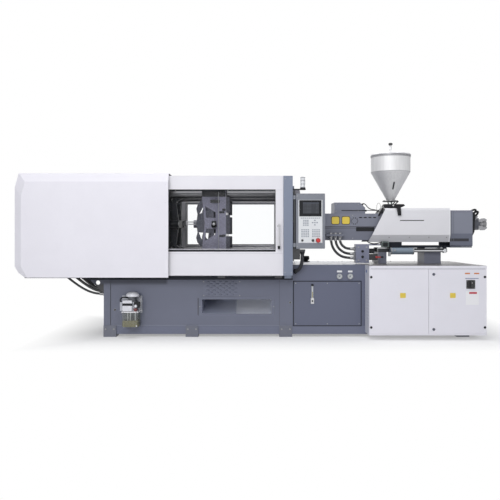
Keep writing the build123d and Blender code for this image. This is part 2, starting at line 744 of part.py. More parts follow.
# Guard pillars: folded channels on the sills that close the gate openings. The front one also
# carries the control panel's hinge post, and the arm under it from which the panel's conduit hangs.
pillar_y = (half_width - 110, half_width - 30)
pillar_z = (gate_bottom + 1, gate_top - 2)
pillar_inset = 12
post_x = 346
post_y = -half_width + 42
post_radius = 11
post_z = (940, 1580)
post_lug_z = (940, 1255, 1560)
post_lug_height = 20
arm_x = (408, 462)
arm_y = (-half_width + 48, -half_width + 102)
arm_z = (935, 957)
arm_block_low = 850
with BuildPart() as guard_pillars:
    for side in (-1, 1):
        outer = sorted((side * pillar_y[0], side * pillar_y[1]))
        inner = sorted((side * pillar_y[0], side * (pillar_y[1] - sheet)))
        block(pillar_x, outer, pillar_z)
        block((pillar_x[0] + sheet, pillar_x[1] - sheet), inner, (pillar_z[0] + sheet, pillar_z[1] - sheet),
              mode=Mode.SUBTRACT)
        block((pillar_x[0] + pillar_inset, pillar_x[1] - pillar_inset),
              sorted((side * (pillar_y[0] + pillar_inset), side * (sill_outer - pillar_inset))),
              (sill_z[1], pillar_z[0]))
    bar_z(post_x, post_y, post_z, post_radius)
    for lug_low in post_lug_z:
        block((pillar_x[1], post_x), (post_y - post_radius, post_y + post_radius),
              (lug_low, lug_low + post_lug_height))
    block((pillar_x[1], arm_x[1]), arm_y, arm_z)
    block((pillar_x[1], arm_x[0]), arm_y, (arm_block_low, arm_z[0] + 1))
save(guard_pillars, "guard_pillars")

# Sliding gates: folded trays open at the back, with nylon shoes that straddle the track, guides
# that run along the upper rail, and a clear pane behind the front sheet.
gate_front = -half_width + 50
gate_back = gate_front + gate_depth
front_window_x, front_window_z = (-1025, 147), (933, 1595)
rear_window_x, rear_window_z = (-925, 188), (986, 1507)
pane_overlap = 12
pane_thickness = 6
shoe_length = 80
handle_x = 181
handle_z = (963, 1228)
handle_stand = 40
handle_radius = 9


def gate(window_x, window_z):
    """The gate's tray with its window, pane frame, shoes and guides, in the open part."""
    block((gate_left, gate_right), (gate_front, gate_back), (gate_bottom, gate_top))
    block((gate_left + sheet, gate_right - sheet), (gate_front + sheet, gate_back),
          (gate_bottom + sheet, gate_top - sheet), mode=Mode.SUBTRACT)
    for grow, mode in ((pane_overlap + 2 + sheet, Mode.ADD), (pane_overlap + 2, Mode.SUBTRACT)):
        block((window_x[0] - grow, window_x[1] + grow), (gate_front + sheet - 1, gate_front + 20),
              (window_z[0] - grow, window_z[1] + grow), mode=mode)
    block((window_x[0] - pane_overlap - 5, window_x[1] + pane_overlap + 5), (gate_front, gate_front + sheet),
          (window_z[0] - pane_overlap - 5, window_z[1] + pane_overlap + 5))
    block(window_x, (gate_front, gate_front + sheet), window_z, mode=Mode.SUBTRACT)
    for shoe_x in (gate_left + 10, (gate_left + gate_right - shoe_length) / 2,
                   gate_right - 10 - shoe_length):
        block((shoe_x, shoe_x + shoe_length), (gate_front, gate_back), (sill_z[1] + 4, gate_bottom + sheet))
        block((shoe_x, shoe_x + shoe_length), (-track_y[1] - side_play, -track_y[0] + side_play),
              (sill_z[1], track_top + seat_gap), mode=Mode.SUBTRACT)
    for guide_x in (gate_left + 20, gate_right - 100):
        block((guide_x, guide_x + shoe_length), (gate_front + sheet - 1, -frame_y[1] - slide_gap),
              (upper_rail_z[0] + 5, upper_rail_z[1] - 5))


def pane(window_x, window_z):
    """The clear pane of a gate, in the open part."""
    block((window_x[0] - pane_overlap, window_x[1] + pane_overlap),
          (gate_front + sheet, gate_front + sheet + pane_thickness),
          (window_z[0] - pane_overlap, window_z[1] + pane_overlap))


def handle(x):
    """The gate's grab handle: a round bar on two legs, in the open part."""
    bar_z(x, gate_front - handle_stand, handle_z, handle_radius)
    for leg_z in (handle_z[0] + 22, handle_z[1] - 22):
        bar_y(x, (gate_front - handle_stand, gate_front), leg_z, handle_radius - 2)


with BuildPart() as front_tray:
    gate(front_window_x, front_window_z)

with BuildPart() as front_handle:
    handle(handle_x)
save_unit((front_tray, front_handle), "front_gate")

with BuildPart() as front_gate_pane:
    pane(front_window_x, front_window_z)
save(front_gate_pane, "front_gate_pane")

with BuildPart() as rear_tray:
    gate(rear_window_x, rear_window_z)
rear_tray.part = mirror(rear_tray.part, about=Plane.XZ)

with BuildPart() as rear_handle:
    handle(handle_x + 22)
rear_handle.part = mirror(rear_handle.part, about=Plane.XZ)
save_unit((rear_tray, rear_handle), "rear_gate")

with BuildPart() as rear_gate_pane:
    pane(rear_window_x, rear_window_z)
rear_gate_pane.part = mirror(rear_gate_pane.part, about=Plane.XZ)
save(rear_gate_pane, "rear_gate_pane")

# Signal beacon: a clear stack on a black arm from the pillar.
beacon_x = 438
beacon_y = -half_width + 70
beacon_z = (1602, 1729)
beacon_radius = 27
with BuildPart() as signal_beacon:
    block((pillar_x[1], beacon_x + 30), (beacon_y - 20, beacon_y + 20), (beacon_z[0] - 12, beacon_z[0]))
    bar_z(beacon_x, beacon_y, (beacon_z[0], beacon_z[0] + 14), beacon_radius + 3)
    bar_z(beacon_x, beacon_y, (beacon_z[0] + 14, beacon_z[1]), beacon_radius)
save(signal_beacon, "signal_beacon")

# Control panel: a cast housing that swings on the post, with screen, key field and three controls.
panel_x = (363, 671)
panel_y = (-half_width + 40, -half_width + 130)
panel_z = (965, 1551)
field_x = (388, 643)
field_z = (1026, 1482)
field_thickness = 3
screen_x = (401, 630)
screen_z = (1312, 1475)
knuckle_radius = 15.5
knuckle_z = ((985, 1025), (1490, 1530))
stop_at = (597, 1053)
start_at = (542, 1053)
lock_at = (430, 1053)
stem_radius = 9
stem_depth = 25
key_height = 1.5
screen_recess = 1.2
with BuildPart() as control_panel:
    block(panel_x, panel_y, panel_z)
    fillet(control_panel.edges().filter_by(Axis.Y), 10)
    block(field_x, (panel_y[0], panel_y[0] + field_thickness), field_z, mode=Mode.SUBTRACT)
    for x, z in (stop_at, start_at, lock_at):
        bar_y(x, (panel_y[0], panel_y[0] + field_thickness + stem_depth), z, stem_radius + slide_gap,
              mode=Mode.SUBTRACT)
    for low, high in knuckle_z:
        bar_z(post_x, post_y, (low, high), knuckle_radius)
        block((post_x, panel_x[0] + 1), (post_y + 2, post_y + 14), (low, high))
        bar_z(post_x, post_y, (low, high), post_radius + running_fit, mode=Mode.SUBTRACT)
save(control_panel, "control_panel")

key_blocks = (
    ((515, 1290), (21, 1), (10, 1), (15, 8)),
    ((467, 1240), (21, 17), (3, 4), (15, 11)),
    ((563, 1242), (24, 24), (3, 1), (16, 12)),
    ((563, 1242), (24, 24), (1, 3), (16, 12)),
    ((460, 1130), (22, 18), (4, 5), (15, 11)),
    ((575, 1130), (22, 18), (4, 5), (15, 11)),
)
with BuildPart() as panel_face:
    block(field_x, (panel_y[0], panel_y[0] + field_thickness), field_z)
    block(screen_x, (panel_y[0], panel_y[0] + screen_recess), screen_z, mode=Mode.SUBTRACT)
    for centre, pitch, count, size in key_blocks:
        with BuildSketch(facing(panel_y[0])):
            with Locations(centre):
                with GridLocations(*pitch, *count):
                    Rectangle(*size)
        extrude(amount=key_height)
    for x, z in (stop_at, start_at, lock_at):
        bar_y(x, (panel_y[0] - 5, panel_y[0] + field_thickness), z, stem_radius + slide_gap,
              mode=Mode.SUBTRACT)
save(panel_face, "panel_face")

button_travel = 4
for name, (x, z), head_radius, head_depth in (
        ("emergency_stop", stop_at, 22, 18), ("start_button", start_at, 13, 10),
        ("panel_key_switch", lock_at, 11, 6)):
    with BuildPart() as button:
        head_face = panel_y[0] - button_travel - 2
        bar_y(x, (head_face - head_depth, head_face), z, head_radius)
        fillet(button.edges().filter_by(GeomType.CIRCLE).sort_by(Axis.Y)[0], 3)
        bar_y(x, (head_face, panel_y[0] + field_thickness + stem_depth - button_travel - 1), z, stem_radius)
    save(button, name)

# Electrical cabinet: a sheet box on the front of the bed, its mounting plate and equipment.
cabinet_z = (53, 786)
door_front = -half_width
door_back = door_front + 18
cabinet_front = door_back + 1.5
door_z = (70, 750)
door_split = 1757
door_gap = 1.5
pivot_inset = 9
pivot_pin_radius = 3
pivot_pin_length = 10
rim_z = (751.5, cabinet_z[1])
mount_plate = 3
plate_back_y = -bed_half_width - sheet
contactor_columns = 7
with BuildPart() as cabinet_body:
    block(cabinet_x, (cabinet_front, -bed_half_width), cabinet_z)
    block((cabinet_x[0] + sheet, cabinet_x[1] - sheet), (cabinet_front, -bed_half_width - sheet),
          (cabinet_z[0] + sheet, cabinet_z[1] - sheet), mode=Mode.SUBTRACT)
    block(cabinet_x, (door_front, cabinet_front + 5), rim_z)
    block(cabinet_x, (door_front, cabinet_front + 5), (cabinet_z[0], door_z[0] - door_gap))
    for pin_x in (cabinet_x[0] + pivot_inset, cabinet_x[1] - pivot_inset):
        bar_z(pin_x, door_front + pivot_inset, (door_z[1] - pivot_pin_length, rim_z[0]), pivot_pin_radius)
        bar_z(pin_x, door_front + pivot_inset, (door_z[0] - door_gap, door_z[0] + pivot_pin_length),
              pivot_pin_radius)
    block((cabinet_x[0] + 60, cabinet_x[1] - 60), (plate_back_y - mount_plate, plate_back_y),
          (cabinet_z[0] + 50, cabinet_z[1] - 50))
    with BuildSketch(facing(plate_back_y - mount_plate)):
        with Locations((1420, 600)):
            with GridLocations(62, 130, contactor_columns, 2):
                Rectangle(45, 78)
        with Locations((1420, 300)):
            Rectangle(430, 210)
        with Locations((2040, 440)):
            with GridLocations(190, 260, 2, 2):
                Rectangle(150, 200)
    extrude(amount=85)
save(cabinet_body, "cabinet_body")

lock_radius = 11
upper_lock_at = (1811, 696)
lower_lock_at = (1811, 116)
switch_at = (2200, 590)
switch_hub_radius = 16
plate_half = 46


def door(x, pin_x, holes):
    """A cabinet door: a folded tray with a pivot block at its hinged edge, in the open part."""
    block(x, (door_front, door_back), door_z)
    block((x[0] + sheet, x[1] - sheet), (door_front + sheet, door_back),
          (door_z[0] + sheet, door_z[1] - sheet), mode=Mode.SUBTRACT)
    near, far = sorted((pin_x - pivot_inset, pin_x + pivot_inset))
    near, far = max(near, x[0]), min(far, x[1])
    for low in (door_z[0], door_z[1] - 40):
        block((near, far), (door_front, door_back), (low, low + 40))
    bar_z(pin_x, door_front + pivot_inset, door_z, pivot_pin_radius + running_fit, mode=Mode.SUBTRACT)
    for (hole_x, hole_z), radius in holes:
        bar_y(hole_x, (door_front - 1, door_front + sheet + 1), hole_z, radius, mode=Mode.SUBTRACT)


with BuildPart() as left_cabinet_door:
    door((cabinet_x[0] + 2, door_split - door_gap), cabinet_x[0] + pivot_inset, [])
save(left_cabinet_door, "left_cabinet_door")

with BuildPart() as right_cabinet_door:
    door((door_split + door_gap, cabinet_x[1] - 2), cabinet_x[1] - pivot_inset,
         [(upper_lock_at, lock_radius + running_fit), (lower_lock_at, lock_radius + running_fit),
          (switch_at, switch_hub_radius + running_fit)])
    block((switch_at[0] - plate_half, switch_at[0] + plate_half), (door_front - 4, door_front),
          (switch_at[1] - plate_half, switch_at[1] + plate_half))
    bar_y(switch_at[0], (door_front - 5, door_front), switch_at[1], switch_hub_radius + running_fit,
          mode=Mode.SUBTRACT)
save(right_cabinet_door, "right_cabinet_door")

cam_reach = 48
for name, (x, z) in (("upper_door_lock", upper_lock_at), ("lower_door_lock", lower_lock_at)):
    with BuildPart() as door_lock:
        bar_y(x, (door_front - 4, door_front), z, lock_radius + 4)
        bar_y(x, (door_front, door_back + 4), z, lock_radius)
        block((x - cam_reach, x + 10), (door_back + 4, door_back + 7), (z - 10, z + 10))
    save(door_lock, name)

# Main switch: a rotary grip in front of the square plate on the door.
with BuildPart() as main_switch_grip:
    bar_y(switch_at[0], (door_front - 4.5 - 12, door_front - 4.5), switch_at[1], 30)
    block((switch_at[0] - 9, switch_at[0] + 9), (door_front - 40, door_front - 16),
          (switch_at[1] - 29, switch_at[1] + 29))
    bar_y(switch_at[0], (door_front - 5, door_front + 12), switch_at[1], switch_hub_radius)
save(main_switch_grip, "main_switch_grip")

# Lubrication pump: bracket and pump head on the bed's front, with a clear grease reservoir below.
pump_x = (-1493, -1315)
pump_y = (-590, -bed_half_width)
head_z = (282, 400)
reservoir_z = (128, head_z[0])
with BuildPart() as lube_pump:
    block((pump_x[0] - 25, pump_x[1] + 15), (pump_y[1] - 8, pump_y[1]), (head_z[0] - 20, head_z[1] + 50))
    block((pump_x[0] + 20, pump_x[1] - 30), (pump_y[0] + 30, pump_y[1] - 8), (head_z[0] + 12, head_z[1]))
    block(pump_x, (pump_y[0], pump_y[1] - 8), (head_z[0], head_z[0] + 12))
    bar_z(sum(pump_x) / 2 + 10, -515, (head_z[1], head_z[1] + 84), 42)
    bar_y(-1345, (pump_y[0] + 8, pump_y[0] + 31), 352, 16)
    block((pump_x[0] - 20, pump_x[0] + 60), (pump_y[0] + 20, pump_y[1] - 60), (head_z[0] + 20, head_z[1] - 6))
save(lube_pump, "lube_pump")

with BuildPart() as lube_reservoir:
    block((pump_x[0] + 2, pump_x[1] - 2), (pump_y[0] + 2, pump_y[1] - 10), reservoir_z)
    fillet(lube_reservoir.edges().filter_by(Axis.Z), 24)
save(lube_reservoir, "lube_reservoir")

# Injection base: columns on the bed, two beams with the carriage's rails, and the seat cylinder
# that pulls the carriage forward until the nozzle seats.
column_x = ((1345, 1440), (1872, 2062))
column_y = 130
beam_y = (70, column_y)
beam_height = 40
beam_top = 955
rail_x = (1345, 2135)
rail_y = (85, 115)
seat_y = -215
seat_z = 930
seat_rod_radius = 14
seat_x = (1464, 1724)
seat_bore_radius = 30
with BuildPart() as injection_base:
    for span_x in column_x:
        block(span_x, (-column_y, column_y), (injection_bed_top, beam_top - beam_height))
    for side in (-1, 1):
        block(rail_x, sorted((side * beam_y[0], side * beam_y[1])), (beam_top - beam_height, beam_top))
        block(rail_x, sorted((side * rail_y[0], side * rail_y[1])), (beam_top, beam_top + way_height))
    for bracket_x in (seat_x[0] + 20, seat_x[1] - 50):
        block((bracket_x, bracket_x + 30), (seat_y, -column_y), (beam_top - beam_height + 2, beam_top - 2))
    bar_x(seat_x, seat_y, seat_z, seat_bore_radius + 8)
    bar_x((seat_x[0] + 10, seat_x[1] - 10), seat_y, seat_z, seat_bore_radius + running_fit,
          mode=Mode.SUBTRACT)
    bar_x((seat_x[1] - 11, seat_x[1] + 1), seat_y, seat_z, seat_rod_radius + running_fit, mode=Mode.SUBTRACT)
save(injection_base, "injection_base")

# Injection cylinders, one each side of the screw, behind the front housing.
cylinder_y = 125
cylinder_radius = 60
cylinder_bore = 45
injection_rod = 28

# Carriage: base plate on shoes, with the front housing that holds barrel and hopper, and the seat rod.
carriage_x = (1469, 2138)
carriage_y = 200
carriage_z = (970, 990)
housing_x = (1440, 1600)
injection_x = (housing_x[1], 1990)
housing_y = 185
housing_top = 1400
throat_radius = 40
rail_top = beam_top + way_height
with BuildPart() as carriage:
    block(carriage_x, (-carriage_y, carriage_y), carriage_z)
    block(housing_x, (-housing_y, housing_y), (carriage_z[1] - 1, housing_top))
    for side in (-1, 1):
        for shoe_x in (carriage_x[0] + 6, 1800):
            block((shoe_x, shoe_x + shoe_length), sorted((side * beam_y[0], side * beam_y[1])),
                  (beam_top + 2, carriage_z[0] + 1))
            block((shoe_x - 1, shoe_x + shoe_length + 1),
                  sorted((side * (rail_y[0] - slide_gap), side * (rail_y[1] + slide_gap))),
                  (beam_top, rail_top + seat_gap), mode=Mode.SUBTRACT)
    bar_x((housing_x[0] - 1, housing_x[1] + 1), 0, axis_height, barrel_radius + running_fit,
          mode=Mode.SUBTRACT)
    bar_z(hopper_x, 0, (axis_height, housing_top), throat_radius, mode=Mode.SUBTRACT)

with BuildPart() as seat_rod:
    block((2060, 2090), (seat_y - 22, seat_y + 22), (seat_z - 22, carriage_z[0]))
    block((2060, 2090), (seat_y - 22, -carriage_y), (carriage_z[0] - 1, carriage_z[1]))
    bar_x((seat_x[0] + 18, 2070), seat_y, seat_z, seat_rod_radius)
    bar_x((seat_x[0] + 18, seat_x[0] + 36), seat_y, seat_z, seat_bore_radius - running_fit)

with BuildPart() as injection_cylinders:
    for side in (-1, 1):
        bar_x(injection_x, side * cylinder_y, axis_height, cylinder_radius)
        bar_x((injection_x[0] + 15, injection_x[1] - 15), side * cylinder_y, axis_height,
              cylinder_bore + running_fit, mode=Mode.SUBTRACT)
        bar_x((injection_x[1] - 16, injection_x[1] + 1), side * cylinder_y, axis_height,
              injection_rod + running_fit, mode=Mode.SUBTRACT)
save_unit((carriage, seat_rod, injection_cylinders), "carriage")

# Barrel: nozzle, end cap and long bored tube with a feed opening, turned as one outline.
nozzle_tip = 232
barrel_head = (330, 410)
barrel_bore = screw_radius + 0.1
feed_half = 32
band_starts = (440, 620, 800, 980, 1160)
band_width = 120
band_thickness = 16
with BuildPart() as barrel:
    with BuildSketch(Plane.XZ.offset(0)):
        with BuildLine():
            Polyline((nozzle_tip, axis_height), (nozzle_tip, axis_height + 12), (nozzle_tip + 18, axis_height + 26),
                     (barrel_head[0] - 10, axis_height + 30), (barrel_head[0] - 10, axis_height + 46),
                     (barrel_head[0], axis_height + 46), (barrel_head[0], axis_height + 74),
                     (barrel_head[1], axis_height + 74), (barrel_head[1], axis_height + barrel_radius),
                     (housing_x[1], axis_height + barrel_radius), (housing_x[1], axis_height), close=True)
        make_face()
    revolve(axis=Axis((0, 0, axis_height), (1, 0, 0)))
    bar_x((nozzle_tip, barrel_head[0] + 20), 0, axis_height, 4, mode=Mode.SUBTRACT)
    bar_x((barrel_head[0] + 20, housing_x[1]), 0, axis_height, barrel_bore, mode=Mode.SUBTRACT)
    block((hopper_x - feed_half, hopper_x + feed_half), (-feed_half / 2, feed_half / 2),
          (axis_height, axis_height + barrel_radius), mode=Mode.SUBTRACT)
    for band_x in band_starts:
        with BuildSketch(Plane.YZ.offset(band_x)):
            with Locations((0, axis_height)):
                Circle(barrel_radius + band_thickness)
                Circle(barrel_radius - 1, mode=Mode.SUBTRACT)
        extrude(amount=band_width)
save(barrel, "barrel")

# Screw: a conical-root screw with a journal in the thrust housing and a shank into the motor.
thrust_x = (2020, 2120)
journal_radius = 30
screw_start = 372
with BuildPart() as screw:
    bar_x((screw_start, thrust_x[0]), 0, axis_height, screw_radius)
    bar_x((thrust_x[0], thrust_x[1] + 80), 0, axis_height, journal_radius)
    with Locations(Location((screw_start - 9, 0, axis_height), (0, 90, 0))):
        Cone(8, screw_radius, 18)
save(screw, "screw")

# Thrust housing: carried by the injection rods, holds the screw's journal and the motor.
with BuildPart() as thrust_housing:
    with BuildSketch(Plane.YZ.offset(thrust_x[0])):
        with Locations((0, axis_height)):
            RectangleRounded(400, 290, 60)
            Circle(journal_radius + running_fit, mode=Mode.SUBTRACT)
    extrude(amount=thrust_x[1] - thrust_x[0])
    for side in (-1, 1):
        bar_x((injection_x[0] + 40, thrust_x[0] + 1), side * cylinder_y, axis_height, injection_rod)
        bar_x((injection_x[0] + 40, injection_x[0] + 70), side * cylinder_y, axis_height,
              cylinder_bore - running_fit)
save(thrust_housing, "thrust_housing")

# Screw motor: a low-speed hydraulic motor with its flange on the thrust housing, and the folded
# cover round it, which sits on the motor's back face.
motor_back = 2400
motor_radius = 148
rear_cover_x = (2145, motor_back + sheet)
rear_cover_y = 190
rear_cover_z = (984, 1393)
with BuildPart() as screw_motor:
    for shrink, mode in ((0, Mode.ADD), (sheet, Mode.SUBTRACT)):
        with BuildSketch(Plane.YZ.offset(rear_cover_x[0])):
            with Locations((0, sum(rear_cover_z) / 2)):
                RectangleRounded(2 * (rear_cover_y - shrink), rear_cover_z[1] - rear_cover_z[0] - 2 * shrink,
                                 14 - shrink)
        extrude(amount=rear_cover_x[1] - rear_cover_x[0] - shrink, mode=mode)
    with BuildSketch(Plane.XZ):
        with BuildLine():
            Polyline((thrust_x[1], axis_height), (thrust_x[1], axis_height + 110), (thrust_x[1] + 30, axis_height + 110),
                     (thrust_x[1] + 30, axis_height + 92), (thrust_x[1] + 70, axis_height + motor_radius),
                     (motor_back, axis_height + motor_radius), (motor_back, axis_height + 78),
                     (motor_back + 140, axis_height + 70), (motor_back + 140, axis_height + 52),
                     (half_length, axis_height + 46), (half_length, axis_height), close=True)
        make_face()
    revolve(axis=Axis((0, 0, axis_height), (1, 0, 0)))
    bar_x((thrust_x[1], thrust_x[1] + 90), 0, axis_height, journal_radius + running_fit,
          mode=Mode.SUBTRACT)
save(screw_motor, "screw_motor")

# Injection cover: a pale folded shell over cylinders and housing, slanted at the front, open below.
shell_y = 220
shell_z = (1032, 1416)
shell_low_bevel = 79
shell_back = 2141
shell_front = (1215, 1412)
shell_tuck = 30
with BuildPart() as injection_cover:
    for shrink, mode in ((0, Mode.ADD), (sheet, Mode.SUBTRACT)):
        with BuildSketch(Plane.YZ.offset(shell_front[0] - shrink)):
            outline([
                (-shell_y + shell_tuck + shrink, shell_z[0] - shrink), (-shell_y + shrink, shell_z[0] + shell_low_bevel),
                (-shell_y + shrink, shell_z[1] - 25), (-shell_y + 25 + shrink, shell_z[1] - shrink),
                (shell_y - 25 - shrink, shell_z[1] - shrink), (shell_y - shrink, shell_z[1] - 25),
                (shell_y - shrink, shell_z[0] + shell_low_bevel), (shell_y - shell_tuck - shrink, shell_z[0] - shrink),
            ])
        extrude(amount=shell_back - shell_front[0] + 2 * shrink, mode=mode)
    with BuildSketch(Plane.XZ):
        outline([
            (shell_front[0] - 10, shell_z[0] - 10), (shell_front[0], shell_z[0]),
            (shell_front[1], shell_z[1]), (shell_front[1], shell_z[1] + 10), (shell_front[0] - 10, shell_z[1] + 10),
        ])
    extrude(amount=shell_y + 10, both=True, mode=Mode.SUBTRACT)
    block((hopper_x - 95, hopper_x + 95), (-95, 95), (shell_z[1] - 10, shell_z[1] + 1), mode=Mode.SUBTRACT)
    for side in (-1, 1):
        block((housing_x[0] + 40, housing_x[0] + 80), sorted((side * housing_y, side * (shell_y - 1))),
              (1180, 1260))
save(injection_cover, "injection_cover")

# Barrel guard: a folded channel over the heater bands, with the terminal box on top and a
# bulkhead for the hoses at the front.
guard_x = (480, housing_x[0])
guard_y = 170
guard_z = (1052, 1356)
terminal_x = (843, 1196)
terminal_y = 130
terminal_z = (guard_z[1], 1484)
bulkhead_x = (735, 940)
bulkhead_z = (1098, 1122)
bulkhead_front = -234
with BuildPart() as barrel_guard:
    block(guard_x, (-guard_y, guard_y), guard_z)
    block((guard_x[0] + sheet, guard_x[1]), (-guard_y + sheet, guard_y - sheet),
          (guard_z[0], guard_z[1] - sheet), mode=Mode.SUBTRACT)
    bar_x((guard_x[0] - 1, guard_x[0] + sheet + 1), 0, axis_height, barrel_radius + 20,
          mode=Mode.SUBTRACT)
    with BuildSketch(facing(-terminal_y)):
        outline([
            (terminal_x[0], terminal_z[0]), (terminal_x[0], terminal_z[1]), (terminal_x[1] - 60, terminal_z[1]),
            (terminal_x[1], terminal_z[1] - 60), (terminal_x[1], terminal_z[0]),
        ])
    extrude(amount=-2 * terminal_y)
    block(bulkhead_x, (bulkhead_front, -guard_y), bulkhead_z)
save(barrel_guard, "barrel_guard")

# Hopper base: a black block on the front housing, with a plate that slides across the throat.
base_half = 80
base_z = (housing_top, 1500)
slide_z = (1448, 1454)
slide_half = 48
slide_span = (-100, 140)
with BuildPart() as hopper_base:
    block((hopper_x - base_half, hopper_x + base_half), (-base_half, base_half), base_z)
    bar_z(hopper_x, 0, base_z, throat_radius, mode=Mode.SUBTRACT)
    block((hopper_x - slide_half - slide_gap, hopper_x + slide_half + slide_gap), (-base_half, base_half),
          (slide_z[0] - seat_gap, slide_z[1] + seat_gap), mode=Mode.SUBTRACT)
save(hopper_base, "hopper_base")

with BuildPart() as hopper_slide:
    block((hopper_x - slide_half, hopper_x + slide_half), slide_span, slide_z)
    bar_z(hopper_x, 0, slide_z, throat_radius, mode=Mode.SUBTRACT)
    bar_y(hopper_x, (slide_span[0] - 30, slide_span[0] + 1), sum(slide_z) / 2, 9)
save(hopper_slide, "hopper_slide")

# Hopper: spun sheet with a foot flange, cone, cylinder and rolled rim; the lid rests on the rim.
hopper_foot = base_z[1]
cone_base = 1520
cone_top = 1843
hopper_rim = 2040
hopper_wall = 3
foot_radius = 92


def spun(points):
    """A piece of sheet turned round the hopper's axis; each point is a radius and a height."""
    with BuildPart() as sheet_piece:
        with BuildSketch(Plane.XZ):
            outline([(hopper_x + radius, height) for radius, height in points])
        revolve(axis=Axis((hopper_x, 0, 0), (0, 0, 1)))
    return sheet_piece


neck = throat_radius + 6
save_unit((
    spun([(throat_radius, hopper_foot), (foot_radius, hopper_foot), (foot_radius, hopper_foot + 10),
          (neck, hopper_foot + 10), (neck, cone_base), (throat_radius, cone_base)]),
    spun([(throat_radius, cone_base), (neck, cone_base), (hopper_radius, cone_top),
          (hopper_radius - hopper_wall, cone_top)]),
    spun([(hopper_radius - hopper_wall, cone_top), (hopper_radius, cone_top), (hopper_radius, hopper_rim),
          (hopper_radius - hopper_wall, hopper_rim)]),
), "hopper")

lid_radius = 231
lid_crest = 2099
knob_top = 2188
lid_seat = hopper_rim + seat_gap
save_unit((
    spun([(lid_radius - 4, hopper_rim - 14), (lid_radius, hopper_rim - 14), (lid_radius, lid_seat),
          (lid_radius - 4, lid_seat)]),
    spun([(0, lid_seat), (lid_radius, lid_seat), (lid_radius, hopper_rim + 8), (60, lid_crest - 4), (16, lid_crest),
          (12, knob_top - 30), (24, knob_top - 22), (24, knob_top - 6), (16, knob_top), (0, knob_top)]),
), "hopper_lid")

# Hose manifold: a ported block that hangs from the front housing, with a shut-off valve.
manifold_x = (1058, 1203)
manifold_y = (-305, -195)
manifold_z = (800, 1008)
valve_x = (manifold_x[1], 1300)
valve_y = (-300, -258)
valve_z = (830, 900)
lever_at = (1285, 865)
with BuildPart() as hose_manifold:
    block(manifold_x, manifold_y, manifold_z)
    block(valve_x, valve_y, valve_z)
    block((manifold_x[0] + 20, housing_x[0]), (manifold_y[1] - 10, manifold_y[1] + 12), (993, manifold_z[1]))
    block((housing_x[0] - 10, housing_x[0]), (-housing_y - 12, -housing_y + 40), (993, manifold_z[1]))
    bar_y(lever_at[0], (valve_y[0] - 1, valve_y[0] + 20), lever_at[1], 6 + running_fit, mode=Mode.SUBTRACT)
save(hose_manifold, "hose_manifold")

with BuildPart() as valve_lever:
    bar_y(lever_at[0], (valve_y[0] - 16, valve_y[0] - 1), lever_at[1], 12)
    block((lever_at[0], lever_at[0] + 70), (valve_y[0] - 14, valve_y[0] - 6), (lever_at[1] - 7, lever_at[1] + 7))
    bar_y(lever_at[0], (valve_y[0] - 2, valve_y[0] + 19), lever_at[1], 6)
save(valve_lever, "valve_lever")


# Hoses: each a tube of straight runs joined by arcs.
def hose(name, points, radius):
    """A hose along its points, with each bend as large as its two runs allow."""
    corners = [Vector(*point) for point in points]
    runs = [after - before for before, after in zip(corners, corners[1:])]
    bends = []
    for before, after in zip(runs, runs[1:]):
        turn = radians(before.get_angle(after))
        bends.append(0.45 * min(before.length, after.length) / tan(turn / 2))
    print(name, "bend radii", [round(bend) for bend in bends])
    with BuildPart() as tube:
        with BuildLine() as route:
            FilletPolyline(*points, radius=bends)
        with BuildSketch(Plane(origin=points[0], z_dir=runs[0])):
            Circle(radius)
        path = route.wires()[0]
        sweep(path=path)
    print(name, "length", round(path.length), "volume over section times length",
          round(tube.part.volume / (pi * radius ** 2 * path.length), 4))
    save(tube, name)


hose_radius = 14
hose_y = -212
hose("outer_hose", [(791, hose_y, bulkhead_z[0]), (791, hose_y, 1030), (820, hose_y, 950),
                    (875, hose_y, 888), (955, hose_y, 852), (manifold_x[0], hose_y, 852)], hose_radius)
hose("middle_hose", [(842, hose_y, bulkhead_z[0]), (842, hose_y, 1040), (866, hose_y, 975),
                     (915, hose_y, 925), (980, hose_y, 898), (manifold_x[0], hose_y, 898)], hose_radius)
hose("inner_hose", [(892, hose_y, bulkhead_z[0]), (892, hose_y, 1046), (909, hose_y, 1004),
                    (941, hose_y, 973), (983, hose_y, 955), (manifold_x[0], hose_y, 955)], hose_radius)

# Hydraulic hose at the clamp end, from a bracket inside the cover down to a gland in the bed's end.
left_hose_y = left_gland[0]
hose("left_hose", [(-2206, left_hose_y, bracket_z[0]), (-2206, left_hose_y, 728), (-2188, left_hose_y, 686),
                   (-2152, left_hose_y, 651), (-2104, left_hose_y, 611), (-2051, left_hose_y, 572),
                   (-1990, left_hose_y, 530),
                   (-1925, left_hose_y, 495), (-1860, left_hose_y, 472), (-1798, left_hose_y, left_gland[1]),
                   (bed_left - left_gland_length, left_hose_y, left_gland[1])], 12)

# Conduit from the arm under the control panel down into the bed's front.
hose("panel_conduit", [(434, -572, arm_z[0]), (434, -572, 878), (432, -567, 824), (421, -553, 776),
                       (401, -528, 741), (381, -492, 722), conduit_end], 19)
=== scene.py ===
from itertools import product
from math import cos, pi, radians, sin

import bmesh
import bpy
from mathutils import Matrix, Vector


